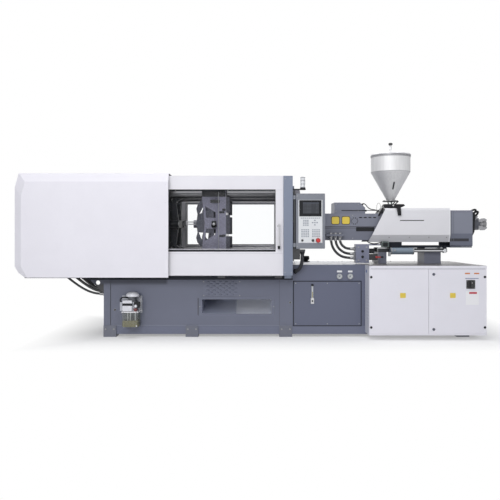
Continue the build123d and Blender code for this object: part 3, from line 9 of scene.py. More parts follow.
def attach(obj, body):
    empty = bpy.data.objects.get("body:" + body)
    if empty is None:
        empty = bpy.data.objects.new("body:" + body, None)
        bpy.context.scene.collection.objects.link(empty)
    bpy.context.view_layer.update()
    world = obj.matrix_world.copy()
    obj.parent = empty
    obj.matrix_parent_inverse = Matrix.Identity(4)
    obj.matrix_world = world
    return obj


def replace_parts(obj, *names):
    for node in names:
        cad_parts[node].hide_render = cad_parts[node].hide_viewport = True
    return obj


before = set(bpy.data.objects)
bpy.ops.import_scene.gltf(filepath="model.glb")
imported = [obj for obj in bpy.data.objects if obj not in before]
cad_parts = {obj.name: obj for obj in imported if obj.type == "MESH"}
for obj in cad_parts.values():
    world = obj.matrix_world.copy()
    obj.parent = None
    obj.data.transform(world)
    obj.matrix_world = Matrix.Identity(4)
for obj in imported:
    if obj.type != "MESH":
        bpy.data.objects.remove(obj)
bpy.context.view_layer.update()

# Camera: level, about standing chest height, six and a half metres in front of the machine and
# a little left of its middle. The lens and the small shift give the photograph's horizon.
def placed(name, data):
    """A new object in the scene."""
    thing = bpy.data.objects.new(name, data)
    bpy.context.collection.objects.link(thing)
    return thing


camera_lens = bpy.data.cameras.new("photographer")
camera_lens.sensor_width = 36
camera_lens.lens = 40.32
camera_lens.shift_y = -0.028
camera = placed("photographer", camera_lens)
camera.location = (-0.125, -6.55, 1.1)
camera.rotation_euler = (radians(90), 0, 0)
bpy.context.scene.camera = camera
bpy.context.scene.view_settings.view_transform = "Standard"


def new_node(tree, kind, settings=None, inputs=None):
    """A node by its type, its settings and its inputs, which take a value, a wire or an output."""
    node = tree.nodes.new(kind)
    for key, value in (settings or {}).items():
        setattr(node, key, value)
    for key, value in (inputs or {}).items():
        value = getattr(value, "socket", value)
        if isinstance(value, bpy.types.NodeSocket):
            tree.links.new(value, node.inputs[key])
        elif value is not None:
            node.inputs[key].default_value = value
    return node


def _math(operation, turned=False):
    """A method that puts a math node after a wire; turned, the other value comes first."""
    return lambda self, other=None: self._sum(operation, *((other, self) if turned else (self, other)))


class Wire:
    """A socket of a material's tree that takes part in sums on values."""

    def __init__(self, socket):
        self.socket = socket

    def _sum(self, operation, *values, clamp=False):
        settings = {"operation": operation, "use_clamp": clamp}
        node = new_node(self.socket.id_data, "ShaderNodeMath", settings, dict(enumerate(values)))
        return Wire(node.outputs[0])

    __add__, __sub__, __mul__, __pow__, __or__, __abs__ = (_math(operation)
        for operation in ("ADD", "SUBTRACT", "MULTIPLY", "POWER", "MAXIMUM", "ABSOLUTE"))
    __radd__, __rsub__, __rmul__ = (_math(operation, turned=True)
        for operation in ("ADD", "SUBTRACT", "MULTIPLY"))

    def bearing(self, other):
        """The angle of the point with these two values."""
        return self._sum("ARCTAN2", self, other)

    def wave(self, pitch):
        """How far the value is from the nearest whole number of pitches."""
        return self._sum("PINGPONG", self, pitch / 2)

    def past(self, edge, blur=0.0004):
        """1 where the value is beyond the edge, 0 before it, with a short blend."""
        return self._sum("MULTIPLY", self - (edge - blur / 2), 1 / blur, clamp=True)

    def short(self, edge, blur=0.0004):
        """1 where the value hasn't reached the edge, 0 beyond it."""
        return 1 - self.past(edge, blur)

    def inside(self, low, high, blur=0.0004):
        """1 where the value lies between the two edges."""
        return self.past(low, blur) * self.short(high, blur)


class Finish:
    """A material that is being put together: every node but the sums comes from add."""

    def __init__(self, name):
        self.material = bpy.data.materials.new(name)
        self.material.use_nodes = True
        self.tree = self.material.node_tree
        self.tree.nodes.clear()
        self.place = self.add("ShaderNodeTexCoord", out="Object")
        axes = self.add("ShaderNodeSeparateXYZ", {}, {"Vector": self.place}, out=None)
        self.x, self.y, self.z = (Wire(socket) for socket in axes.outputs)

    def add(self, kind, settings=None, inputs=None, out=0):
        """A wire from a new node, or the node itself where out is None."""
        node = new_node(self.tree, kind, settings, inputs)
        return node if out is None else Wire(node.outputs[out])

    def noise(self, scale, detail=3.0, roughness=0.5, stretch=None):
        """Smooth noise from 0 to 1 on the piece's own place, drawn out along an axis if asked."""
        at = self.place
        if stretch:
            at = self.add("ShaderNodeMapping", {}, {"Vector": self.place, "Scale": stretch})
        return self.add("ShaderNodeTexNoise", {},
            {"Vector": at, "Scale": scale, "Detail": detail, "Roughness": roughness})

    def turned_in(self, centre):
        """1 on the faces of a hollow piece that look towards its middle."""
        normal = self.add("ShaderNodeNewGeometry", out="True Normal")
        away = self.add("ShaderNodeVectorMath", {"operation": "SUBTRACT"}, {0: self.place, 1: centre})
        along = self.add("ShaderNodeVectorMath", {"operation": "DOT_PRODUCT"}, {0: normal, 1: away},
            out="Value")
        return 1 - along.past(0.0, 0.002)

    def blend(self, mask, under, over):
        """A colour that goes from one to the other with the mask."""
        under, over = (shade if isinstance(shade, Wire) else (*shade, 1) for shade in (under, over))
        return self.add("ShaderNodeMix", {"data_type": "RGBA"}, {0: mask, 6: under, 7: over}, 2)

    def shader(self, colour, roughness, metallic=0.0, height=None, lift=0.0002, strength=0.4, **others):
        """The surface shader; height, in its own units, makes its bumps."""
        inputs = {key.replace("_", " ").title().replace("Ior", "IOR"): value
            for key, value in others.items()}
        inputs["Base Color"] = (*colour, 1) if isinstance(colour, tuple) else colour
        inputs["Roughness"], inputs["Metallic"] = roughness, metallic
        if height is not None:
            inputs["Normal"] = self.add("ShaderNodeBump", {},
                {"Height": height, "Distance": lift, "Strength": strength})
        return self.add("ShaderNodeBsdfPrincipled", {}, inputs)

    def veil(self, tint, share, roughness):
        """A clear sheet: tinted where it is seen through, with a thin share of gloss."""
        see = self.add("ShaderNodeBsdfTransparent", {}, {"Color": (*tint, 1)})
        gloss = self.shader((0.9, 0.92, 0.94), roughness)
        return self.add("ShaderNodeMixShader", {}, {"Fac": share, 1: see, 2: gloss})

    def done(self, shader):
        """Closes the material with the shader on its surface."""
        self.add("ShaderNodeOutputMaterial", {}, {"Surface": shader}, out=None)
        return self.material

# Hoses and conduit: smooth black hydraulic hose between bulkhead and manifold, one more at the
# clamp end, and a ribbed plastic conduit that hangs under the control panel.
rubber = Finish("hose rubber")
scuffs = rubber.noise(60, 4)
rubber_black = rubber.done(rubber.shader(rubber.blend(scuffs, (0.016, 0.017, 0.02), (0.045, 0.046, 0.052)),
    0.38 + 0.2 * scuffs, height=rubber.noise(700, 2), strength=0.25))

ribs = Finish("ribbed conduit")
rib_wave = ribs.add("ShaderNodeTexWave",
    {"wave_type": "BANDS", "bands_direction": "X", "wave_profile": "SIN"},
    {"Vector": ribs.add("ShaderNodeTexCoord", out="UV"), "Scale": 13.0})
conduit_black = ribs.done(ribs.shader(ribs.blend(rib_wave, (0.01, 0.011, 0.015), (0.05, 0.052, 0.062)),
    0.45, height=rib_wave, lift=0.004, strength=1.0))

bulkhead_under, manifold_left, hose_y = 1.098, 1.058, -0.212


def flat(y, *places):
    """A route that stays in one upright plane, from its places across the front."""
    return [(x, y, z) for x, z in places]


def bent_line(name, points, radius, around, along):
    """A round line that follows the points smoothly; around and along are how finely it is drawn."""
    line = bpy.data.curves.new(name, "CURVE")
    line.dimensions = "3D"
    spline = line.splines.new("NURBS")
    spline.points.add(len(points) - 1)
    for point, place in zip(spline.points, points):
        point.co = (*place, 1)
    spline.order_u = min(3, len(points))
    spline.use_endpoint_u = True
    spline.resolution_u = along
    line.bevel_depth = radius
    line.bevel_resolution = around
    line.use_fill_caps = True
    return line


def lay_line(name, route, diameter, finish, body, around, along):
    """A round hose, lead or conduit on its body."""
    line = bent_line(name + "_line", route, diameter / 2, around, along)
    line.materials.append(finish)
    tube = placed(name, line)
    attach(tube, body)
    return tube


hoses = (("outer_hose", 0.423, 0.028, "carriage",
    flat(hose_y, (0.791, bulkhead_under), (0.791, 1.03), (0.82, 0.95), (0.875, 0.888), (0.955, 0.852),
    (manifold_left, 0.852))),
    ("middle_hose", 0.343, 0.028, "carriage",
    flat(hose_y, (0.842, bulkhead_under), (0.842, 1.04), (0.866, 0.975), (0.915, 0.925), (0.98, 0.898),
    (manifold_left, 0.898))),
    ("inner_hose", 0.26, 0.028, "carriage",
    flat(hose_y, (0.892, bulkhead_under), (0.892, 1.046), (0.909, 1.004), (0.941, 0.973), (0.983, 0.955),
    (manifold_left, 0.955))),
    ("left_hose", 0.608, 0.024, "base", flat(-0.35, (-2.206, 0.772), (-2.206, 0.728), (-2.188, 0.686),
    (-2.152, 0.651), (-2.104, 0.611), (-2.051, 0.572), (-1.99, 0.53), (-1.925, 0.495), (-1.86, 0.472),
    (-1.798, 0.461), (-1.736, 0.461))),
    ("panel_conduit", 0.296, 0.038, "base",
    [(0.434, -0.572, 0.935), (0.434, -0.572, 0.878), (0.432, -0.567, 0.824), (0.421, -0.553, 0.776),
    (0.401, -0.528, 0.741), (0.381, -0.492, 0.722), (0.368, -0.452, 0.716)]),)
for node, length, diameter, body, route in hoses:
    conduit = node == "panel_conduit"
    tube = lay_line(node + "_run", route, diameter, conduit_black if conduit else rubber_black, body, 6, 12)
    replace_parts(tube, node)

# Studio: a pale paper floor that fades into a white surround, lit by three large soft lamps and a
# dim fill, so that the machine stands as if cut out.
floor_mesh = bpy.data.meshes.new("studio_floor")
floor_mesh.from_pydata([(-30, -30, 0), (30, -30, 0), (30, 30, 0), (-30, 30, 0)], [], [(0, 1, 2, 3)])
studio_floor = placed("studio_floor", floor_mesh)
paper = Finish("floor paper")
seen = paper.add("ShaderNodeLightPath", out="Is Camera Ray")
mirrored = paper.add("ShaderNodeLightPath", out="Is Glossy Ray")
passed = paper.add("ShaderNodeLightPath", out="Is Transmission Ray")
matt = paper.add("ShaderNodeBsdfDiffuse", {}, {"Color": (0.92, 0.92, 0.93, 1)})
bright = paper.add("ShaderNodeEmission", {}, {"Color": (1, 1, 1, 1), "Strength": 1.0})
fade = 0.35 + 0.65 * ((abs(paper.x - 0.32) - 2.15) | (abs(paper.y) - 0.62)).past(0.3, 0.62)
mixed = paper.add("ShaderNodeMixShader", {}, {"Fac": (seen | mirrored | passed) * fade, 1: matt, 2: bright})
floor_mesh.materials.append(paper.done(mixed))

world = bpy.data.worlds.new("studio")
bpy.context.scene.world = world
world.use_nodes = True
air = world.node_tree
air.nodes.clear()
path = new_node(air, "ShaderNodeLightPath").outputs
backdrop, fill = (new_node(air, "ShaderNodeBackground", {},
    {"Color": colour, "Strength": strength}).outputs[0]
    for colour, strength in (((1, 1, 1, 1), 1.0), ((0.93, 0.95, 1, 1), 0.33)))
direct = new_node(air, "ShaderNodeMath", {"operation": "MAXIMUM"},
    {0: path["Is Camera Ray"], 1: path["Is Transmission Ray"]}).outputs[0]
either = new_node(air, "ShaderNodeMath", {"operation": "MAXIMUM"},
    {0: direct, 1: path["Is Glossy Ray"]}).outputs[0]
which = new_node(air, "ShaderNodeMixShader", {}, {0: either, 1: fill, 2: backdrop}).outputs[0]
new_node(air, "ShaderNodeOutputWorld", {}, {0: which})

for name, place, aim_height, power in (("overhead", (-0.6, -2.2, 6.2), 0.9, 172),
        ("front", (-2.2, -9.0, 3.4), 1.0, 298), ("rear", (2.0, 6.5, 4.5), 1.0, 190)):
    lamp = bpy.data.lights.new(name, "AREA")
    lamp.size = 5.0
    lamp.energy = power
    holder = placed(name, lamp)
    holder.location = place
    holder.rotation_euler = (Vector((0, 0, aim_height)) - Vector(place)).to_track_quat("-Z", "Y").to_euler()

# Bed and sheet steel: shop enamel over welded plate, with a slight orange peel, a few rubbed
# places and dust that gathers low down. The ways on the bed's top are left bare.
def accented(finish, base, rough, metal, accents):
    """Lays places of another colour over a finish: each is a mask made from the finish, the colour
    and roughness there, and its metalness where it isn't paint."""
    for place, colour, roughness, *bare in accents:
        mask = place(finish)
        base = finish.blend(mask, base, colour)
        rough = rough * (1 - mask) + roughness * mask
        metal = mask * (bare[0] if bare else 0.0) + (metal * (1 - mask) if metal else 0.0)
    return base, rough, metal


def shades(colour, *factors):
    """Darker and lighter shades of a colour."""
    return [tuple(min(1, c * factor) for c in colour) for factor in factors]


def enamel(name, colour, roughness=0.42, dust=0.0, peel=1.0, shine=1.0, accents=()):
    """Sprayed paint; dust is how much gathers low down, peel how coarse it is, shine its gloss."""
    paint = Finish(name)
    cloud = paint.noise(2.2, 4, 0.6)
    speck = paint.noise(95, 2, 0.6)
    base = paint.blend(cloud, *shades(colour, 0.94, 1.05))
    low_dust = paint.z.short(0.35, 0.7) * cloud * dust
    base = paint.blend(low_dust, base, (0.42, 0.4, 0.38))
    base = paint.blend(speck.past(0.66, 0.08) * 0.1, base, *shades(colour, 0.7))
    surface = accented(paint, base, roughness + 0.1 * cloud - 0.05 * speck, 0.0, accents)
    return paint.done(paint.shader(*surface, height=paint.noise(420 / peel, 2, 0.45), lift=0.0004,
        strength=0.1 * peel, coat_weight=0.15 * shine, coat_roughness=0.25, specular_ior_level=0.5 * shine))


def dress(material, *nodes):
    """Gives the built nodes their finish."""
    for node in nodes:
        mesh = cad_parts[node].data
        mesh.materials.clear()
        mesh.materials.append(material)


steel_grey = (0.5, 0.51, 0.53)
seam_dark = (0.035, 0.038, 0.05)
bed_front, bed_back = -0.435, 0.435
axis_z, hopper_x = 1.24, 1.518
dress(enamel("bed enamel", (0.125, 0.138, 0.198), dust=0.1,
    accents=((lambda f: f.z.inside(0.6402, 0.653) * f.x.inside(-1.7, 0.33), steel_grey, 0.28, 1.0),
    (lambda f: f.x.short(-1.7222), (0.03, 0.03, 0.035), 0.5),
    (lambda f: f.x.inside(-1.651, -1.643, 0.001) * f.y.short(-0.4315), seam_dark, 0.6),
    (lambda f: f.z.inside(0.121, 0.128, 0.001) * f.y.short(-0.4345) * f.x.short(0.33), (0.2, 0.215, 0.28),
    0.4), (lambda f: f.x.past(0.335) * f.y.short(-0.43), (0.106, 0.118, 0.178), 0.42),
    (lambda f: f.z.short(0.118) * f.y.short(-0.43), (0.142, 0.156, 0.224), 0.42),
    # Painted shadow: a soft dark band on the bed's front under the clamp cover's overhang.
    (lambda f: f.z.inside(0.575, 0.66, 0.03) * f.x.short(-1.03, 0.03) * f.y.short(-0.43),
    (0.06, 0.066, 0.095), 0.6),
    # Painted shade: the bed's top edge along the gate painted near-black for the shadow under the gate.
    (lambda f: f.z.inside(0.632, 0.6401) * f.x.short(0.335), (0.01, 0.011, 0.015), 0.9),
    (lambda f: f.z.past(0.7855) * f.x.past(1.1), (0.105, 0.1, 0.104), 0.5),)), "bed_frame")
dress(enamel("panel enamel", (0.13, 0.143, 0.204), dust=0.1,
    accents=((lambda f: f.x.past(0.335) * f.y.short(-0.43), (0.108, 0.12, 0.18), 0.42),
    (lambda f: f.y.past(-0.4335) * f.z.inside(0.245, 0.415) * f.x.short(-0.2775), (0.38, 0.41, 0.53), 0.5),
    (lambda f: f.y.past(-0.4335) * f.z.inside(0.245, 0.415) * f.x.past(-0.2775), (0.66, 0.69, 0.79), 0.4,
    0.1),)), "bed_panels")
dress(enamel("feet enamel", (0.105, 0.118, 0.168), dust=0.3), "levelling_feet")
dress(enamel("guard frame enamel", (0.016, 0.018, 0.024), 0.6, dust=0.1, shine=0.2), "guard_frame")


FRONT, BACK, LEFT, RIGHT, UP, DOWN = (0, -1, 0), (0, 1, 0), (-1, 0, 0), (1, 0, 0), (0, 0, 1), (0, 0, -1)


def fitted(piece, body):
    """Rounds off a piece's shading and hangs it on its body."""
    piece.data.shade_smooth()
    piece.data.set_sharp_from_angle(angle=radians(40))
    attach(piece, body)
    return piece


class Part:
    """A fitted piece made up in one mesh: soft-edged plates, turned rounds, cut outlines and rods."""

    def __init__(self, name, body, slot, *finishes):
        self.name, self.body, self.slot, self.finishes = name, body, slot, finishes
        self.stock = bmesh.new()

    def _keep(self, made, finish, edge=0.0):
        if edge:
            bmesh.ops.bevel(made, geom=made.edges[:], offset=edge, segments=2, affect="EDGES",
                clamp_overlap=True)
        bmesh.ops.recalc_face_normals(made, faces=made.faces[:])
        for face in made.faces:
            face.material_index = finish
        passing = bpy.data.meshes.new("stock")
        made.to_mesh(passing)
        made.free()
        self.stock.from_mesh(passing)
        bpy.data.meshes.remove(passing)

    def block(self, low, high, edge=0.0015, finish=0):
        """A plate or bar between two corners."""
        made = bmesh.new()
        bmesh.ops.create_cube(made, size=1)
        for vertex in made.verts:
            vertex.co = [(a + b) / 2 + c * (b - a) for a, b, c in zip(low, high, vertex.co)]
        self._keep(made, finish, edge)

    def strips(self, bars, near, far, edge, finish=0):
        """Flat bars between two depths, each from its low and high corners across the front."""
        for low, high in bars:
            self.block((low[0], near, low[1]), (high[0], far, high[1]), edge, finish)

    def turned(self, outline, foot, along, finish=0, sides=28):
        """A round turned from its outline, whose points are a radius and a distance from the foot in
        millimetres. A ring ends where it starts, and any other outline is closed to the axis."""
        if outline[0] != outline[-1]:
            outline = [(0, outline[0][1])] * (outline[0][0] > 0) + list(outline)
            outline += [(0, outline[-1][1])] * (outline[-1][0] > 0)
        made = bmesh.new()
        turn = Vector(UP).rotation_difference(Vector(along)).to_matrix().to_4x4()
        place = Matrix.Translation(foot) @ turn
        rings = []
        for radius, height in outline:
            turns = [2 * pi * k / sides for k in range(sides if radius else 1)]
            rings.append([made.verts.new(place @ (
                Vector((radius * cos(turn), radius * sin(turn), height)) / 1000)) for turn in turns])
        for below, above in zip(rings, rings[1:]):
            for k in range(sides):
                around = (below[k % len(below)], below[(k + 1) % len(below)], above[(k + 1) % len(above)],
                    above[k % len(above)])
                corners = list(dict.fromkeys(around))
                if len(corners) > 2:
                    made.faces.new(corners)
        self._keep(made, finish)

    def slab(self, near, far, edge, finish=0):
        """A plate between two outlines that have the same corners."""
        made = bmesh.new()
        near, far = ([made.verts.new(corner) for corner in corners] for corners in (near, far))
        made.faces.new(near)
        made.faces.new(far[::-1])
        for k in range(len(near)):
            made.faces.new((near[k], near[k - 1], far[k - 1], far[k]))
        self._keep(made, finish, edge)

    def cut(self, corners, depth, edge=0.0008, finish=0, flat=False):
        """A plate cut to an outline across the front, or flat on the floor plan, between two depths."""
        self.slab(*([(a, b, t) if flat else (a, t, b) for a, b in corners] for t in depth), edge, finish)

    def rod(self, points, radius, finish=0):
        """A bent rod, pipe or wire that follows the points in a smooth line."""
        holder = bpy.data.objects.new("rod", bent_line("rod", points, radius, 2, 6))
        shape = bpy.data.meshes.new_from_object(holder)
        made = bmesh.new()
        made.from_mesh(shape)
        bmesh.ops.remove_doubles(made, verts=made.verts[:], dist=1e-6)
        bpy.data.objects.remove(holder)
        bpy.data.meshes.remove(shape)
        self._keep(made, finish)

    def close(self):
        """Finishes the piece and hangs it on its body."""
        mesh = bpy.data.meshes.new(self.name)
        self.stock.to_mesh(mesh)
        self.stock.free()
        for finish in self.finishes:
            mesh.materials.append(finish)
        return fitted(placed(self.name, mesh), self.body)


def rounded(low, high, radius, steps=4):
    """The corners of a rounded rectangle."""
    corners = []
    for cx, cz, start in ((high[0] - radius, high[1] - radius, 0), (low[0] + radius, high[1] - radius, 90),
            (low[0] + radius, low[1] + radius, 180), (high[0] - radius, low[1] + radius, 270)):
        for k in range(steps + 1):
            turn = radians(start + 90 * k / steps)
            corners.append((cx + radius * cos(turn), cz + radius * sin(turn)))
    return corners

# Screws and bolts on the whole machine: zinc-plated socket heads, placed by one node tree on the
# points where they stand. Each head has a driver recess in its top.
class Recipe:
    """A geometry-node tree that stands one small shape on each of its points."""

    def __init__(self, name, inputs):
        self.tree = bpy.data.node_groups.new(name, "GeometryNodeTree")
        face = self.tree.interface
        face.new_socket("Places", in_out="INPUT", socket_type="NodeSocketGeometry")
        self.inputs = {}
        for key, (kind, value) in inputs.items():
            socket = face.new_socket(key, in_out="INPUT", socket_type="NodeSocket" + kind)
            if value is not None:
                socket.default_value = value
            self.inputs[key] = socket.identifier
        face.new_socket("Copies", in_out="OUTPUT", socket_type="NodeSocketGeometry")
        self.given = self.add("NodeGroupInput").outputs

    def add(self, kind, settings=None, inputs=None):
        """A new node in the tree."""
        return new_node(self.tree, kind, settings, inputs)

    def stand(self, shape):
        """Stands the shape on the points, its own Z towards Facing, and closes the tree."""
        turn = self.add("FunctionNodeAlignRotationToVector", {"axis": "Z"},
            {"Vector": self.given["Facing"]})
        copies = self.add("GeometryNodeInstanceOnPoints", {},
            {"Points": self.given["Places"], "Instance": shape, "Rotation": turn.outputs[0]})
        real = self.add("GeometryNodeRealizeInstances", {}, {"Geometry": copies.outputs[0]})
        painted = self.add("GeometryNodeSetMaterial", {},
            {"Geometry": real.outputs[0], "Material": self.given["Finish"]})
        self.add("NodeGroupOutput", {}, {"Copies": painted.outputs[0]})


socket_heads = Recipe("socket heads", {"Radius": ("Float", 0.006), "Height": ("Float", 0.004),
    "Sides": ("Int", 16), "Facing": ("Vector", FRONT), "Finish": ("Material", None)})
given = socket_heads.given
head = socket_heads.add("GeometryNodeMeshCylinder", {},
    {"Vertices": given["Sides"], "Radius": given["Radius"], "Depth": given["Height"]})
half_height = socket_heads.add("ShaderNodeMath", {"operation": "MULTIPLY"}, {0: given["Height"], 1: 0.5})
up = socket_heads.add("ShaderNodeCombineXYZ", {}, {"Z": half_height.outputs[0]})
stood = socket_heads.add("GeometryNodeTransform", {},
    {"Geometry": head.outputs["Mesh"], "Translation": up.outputs[0]})
lip = socket_heads.add("GeometryNodeExtrudeMesh", {"mode": "FACES"},
    {"Mesh": stood.outputs[0], "Selection": head.outputs["Top"], "Offset Scale": 0.0})
narrow = socket_heads.add("GeometryNodeScaleElements", {},
    {"Geometry": lip.outputs["Mesh"], "Selection": lip.outputs["Top"], "Scale": 0.55})
sunk = socket_heads.add("ShaderNodeMath", {"operation": "MULTIPLY"}, {0: given["Height"], 1: -0.6})
recess = socket_heads.add("GeometryNodeExtrudeMesh", {"mode": "FACES"},
    {"Mesh": narrow.outputs[0], "Selection": lip.outputs["Top"], "Offset Scale": sunk.outputs[0]})
socket_heads.stand(recess.outputs["Mesh"])


def repeat(name, recipe, places, body, slot, **values):
    """Copies of a recipe's shape on the places, as one plain mesh on a body."""
    points = bpy.data.meshes.new(name + "_points")
    points.from_pydata(places, [], [])
    piece = placed(name, points)
    step = piece.modifiers.new("copies", "NODES")
    step.node_group = recipe.tree
    for key, value in values.items():
        step[recipe.inputs[key]] = value
    bpy.context.view_layer.update()
    mesh = bpy.data.meshes.new_from_object(piece.evaluated_get(bpy.context.evaluated_depsgraph_get()))
    piece.modifiers.remove(step)
    piece.data = mesh
    mesh.name = name
    return fitted(piece, body)


def ring(middle, radius, count, start=0):
    """Places evenly spread round a circle, as pairs; start is the first one's angle in degrees."""
    turns = [radians(start + 360 * k / count) for k in range(count)]
    return [(middle[0] + radius * cos(turn), middle[1] + radius * sin(turn)) for turn in turns]


def grid(*sides):
    """Every point of a grid, whose three sides are each one number or several."""
    return list(product(*(side if isinstance(side, (tuple, list)) else (side,) for side in sides)))


zinc = enamel("zinc bolts", (0.27, 0.28, 0.3), 0.42,
    accents=((lambda f: f.noise(300, 2), (0.36, 0.36, 0.36), 0.36, 0.8),))
black_plastic = enamel("moulded black", (0.012, 0.013, 0.016), 0.42, peel=1.6, shine=0.4)
rubber_seal = enamel("rubber seal", (0.012, 0.013, 0.016), 0.7, dust=0.05, peel=2.0, shine=0.4)
feet_x = (-1.653, -0.758, 0.265, 2.2)


def screws(name, places, body, radius=0.006, height=0.004, facing=FRONT, slot="zinc_steel", finish=zinc,
        sides=16):
    """Socket heads on the places."""
    repeat(name, socket_heads, places, body, slot, Radius=radius, Height=height, Sides=sides, Facing=facing,
        Finish=finish)


screws("bed_screws", grid((0.374, 0.72, 1.066), bed_front, (0.142, 0.584))
    + grid((-0.63, -0.237), bed_front, (0.45, 0.602)) + grid((-0.672, 0.134), bed_front - 0.003, 0.33),
    "base")
screws("foot_bolts", grid([x + s for x in feet_x[:3] for s in (-0.045, 0.045)], -0.447, 0.085), "base",
    0.01, 0.007, sides=6)
screws("rear_foot_bolts", grid([x + s for x in feet_x for s in (-0.045, 0.045)], 0.447, 0.085), "base",
    0.01, 0.007, facing=BACK, sides=6)
screws("way_screws", grid([-1.62 + 0.16 * k for k in range(12)], (-0.33, 0.33), 0.652), "base", 0.008,
    0.001, facing=UP)

# Vent slots and seals: pressed hoods over the vent panel's slots, and the black rubber edge that
# the service panel is bedded in.
hoods = Recipe("pressed hoods", {"Length": ("Float", 0.036), "Width": ("Float", 0.014),
    "Rise": ("Float", 0.005), "Facing": ("Vector", FRONT), "Finish": ("Material", None)})
bubble = hoods.add("GeometryNodeMeshIcoSphere", {}, {"Radius": 0.5, "Subdivisions": 3})
double_rise = hoods.add("ShaderNodeMath", {"operation": "MULTIPLY"}, {0: hoods.given["Rise"], 1: 2.0})
spread = hoods.add("ShaderNodeCombineXYZ", {},
    {"X": hoods.given["Length"], "Y": hoods.given["Width"], "Z": double_rise.outputs[0]})
pressed = hoods.add("GeometryNodeTransform", {},
    {"Geometry": bubble.outputs[0], "Scale": spread.outputs[0]})
hoods.stand(pressed.outputs[0])
vent_slots = []
for row in range(7):
    row_shift = 0.0335 if row % 2 else 0
    row_z = 0.526 + (row - 3) * 0.023 + 0.004
    vent_slots += [(-0.4335 - 0.01675 + row_shift + (k - 2) * 0.067, bed_front - 0.001, row_z)
        for k in range(5)]
repeat("vent_hoods", hoods, vent_slots, "base", "bed_paint",
    Finish=enamel("vent hood enamel", (0.135, 0.148, 0.21), dust=0.1))

seal = Part("service_seal", "base", "black_plastic", rubber_seal)
seal.strips((((0.346, 0.602), (1.093, 0.611)), ((0.346, 0.115), (1.093, 0.124)),
    ((0.346, 0.12), (0.355, 0.606)), ((1.084, 0.12), (1.093, 0.606))), bed_front - 0.0012, bed_front,
    0.0004)
seal.close()

# Quarter-turn latches on the bed's end post and beside the gate: black moulded knobs with a steel
# bar across them, each on a steel washer.
latches = Part("bed_latches", "base", "black_plastic", black_plastic, zinc)
for x, z in ((-1.601, 0.294), (0.314, 0.374)):
    latches.turned([(13, 0), (13, 1.5)], (x, bed_front, z), FRONT, 1)
    latches.turned([(9.5, 1), (9.5, 6), (8, 8)], (x, bed_front, z), FRONT)
    latches.block((x - 0.0065, bed_front - 0.0095, z - 0.0012), (x + 0.0065, bed_front - 0.007, z + 0.0012),
        0.0003, 1)
latches.close()

# Pressure gauges: white dials with a grey middle and black ticks, under flat glass, each below a
# blank tag. The oil gauge beside them is a sight tube between a black cap and its block.
dial_z, dial_middle, dial_half_gap = 0.661, 0.9085, 0.0585
dial = Finish("gauge dial")
dial_x = abs(dial.x - dial_middle) - dial_half_gap
dial_up = dial.z - dial_z
dial_r = (dial_x * dial_x + dial_up * dial_up) ** 0.5
ticks = dial_x.bearing(dial_up).wave(pi / 10).short(0.05, 0.02) * dial_r.inside(0.0175, 0.0225)
scale = dial.blend(dial_r.short(0.0145), (0.82, 0.82, 0.82), (0.36, 0.37, 0.4))
dial_face = dial.done(dial.shader(dial.blend(ticks, scale, (0.02, 0.02, 0.02)), 0.4, height=dial.noise(500),
    strength=0.05))
tag_white = enamel("tag white", (0.78, 0.78, 0.8), 0.4)
gauge_trim = Part("gauge_dials", "base", "panel_grey", dial_face, zinc, tag_white)
for x in (0.85, 0.967):
    gauge_trim.turned([(24.8, 0), (24.8, 0.2)], (x, -0.451, dial_z), FRONT, 0, 48)
    gauge_trim.turned([(24.5, 0), (30.5, 0), (31.2, 2), (30, 4), (25, 4), (24.5, 3), (24.5, 0)],
        (x, -0.4545, dial_z), FRONT, 1, 48)
for low, high in ((0.825, 0.88), (0.945, 0.994)):
    gauge_trim.cut(rounded((low, 0.703), (high, 0.723), 0.003), (bed_front - 0.0012, bed_front),
        edge=0.0003, finish=2)
gauge_trim.close()
glass = Finish("gauge glass")
gauge_covers = Part("gauge_glasses", "base", "clear_pane",
    glass.done(glass.veil((0.97, 0.98, 0.98), 0.06 + 0.03 * glass.noise(40), 0.04)))
for x in (0.85, 0.967):
    gauge_covers.turned([(24.6, 0), (24.6, 0.8)], (x, -0.4562, dial_z), FRONT, 0, 48)
gauge_covers.close()

oil = enamel("gauge oil", (0.3, 0.24, 0.07), 0.12)
oil_gauge = Part("oil_gauge", "base", "reservoir_plastic", enamel("sight tube", (0.52, 0.55, 0.56), 0.08),
    black_plastic, oil)
oil_gauge.block((0.5475, -0.4515, 0.425), (0.5625, -0.4485, 0.556), 0.001)
oil_gauge.block((0.5515, -0.4525, 0.427), (0.5585, -0.4505, 0.492), 0.0006, 2)
oil_gauge.turned([(13, 0), (13, 16), (10, 20)], (0.555, -0.449, 0.556), UP, 1, 20)
oil_gauge.turned([(11, 0), (9, 6)], (0.555, -0.455, 0.392), FRONT, 1, 6)
oil_gauge.close()

# Hose ends: crimped steel ferrules and hexagon nuts on every hydraulic hose, and moulded black
# collars on the panel's conduit.
ferrule_steel = enamel("ferrule steel", (0.085, 0.087, 0.095), 0.35,
    accents=((lambda f: f.noise(260, 2), (0.56, 0.56, 0.57), 0.25, 0.9),))
ferrule = [(15.5, 0), (15.5, 6), (16.8, 8), (16.8, 30), (15.6, 32), (15.6, 36), (16.4, 38), (16.4, 42),
    (14.2, 45)]
hex_nut = [(20.5, 0), (21.5, 2), (21.5, 12), (20.5, 14)]
carriage_ends = Part("hose_ferrules", "carriage", "zinc_steel", ferrule_steel)
for x in (0.791, 0.842, 0.892):
    carriage_ends.turned(hex_nut, (x, hose_y, bulkhead_under), DOWN, 0, 6)
    carriage_ends.turned(ferrule, (x, hose_y, bulkhead_under - 0.008), DOWN)
    carriage_ends.turned(hex_nut, (x, hose_y, 1.122), UP, 0, 6)
for z in (0.852, 0.898, 0.955):
    carriage_ends.turned(hex_nut, (manifold_left, hose_y, z), LEFT, 0, 6)
    carriage_ends.turned(ferrule, (manifold_left - 0.008, hose_y, z), LEFT)
carriage_ends.close()
bed_ends = Part("left_hose_ferrules", "base", "zinc_steel", ferrule_steel)
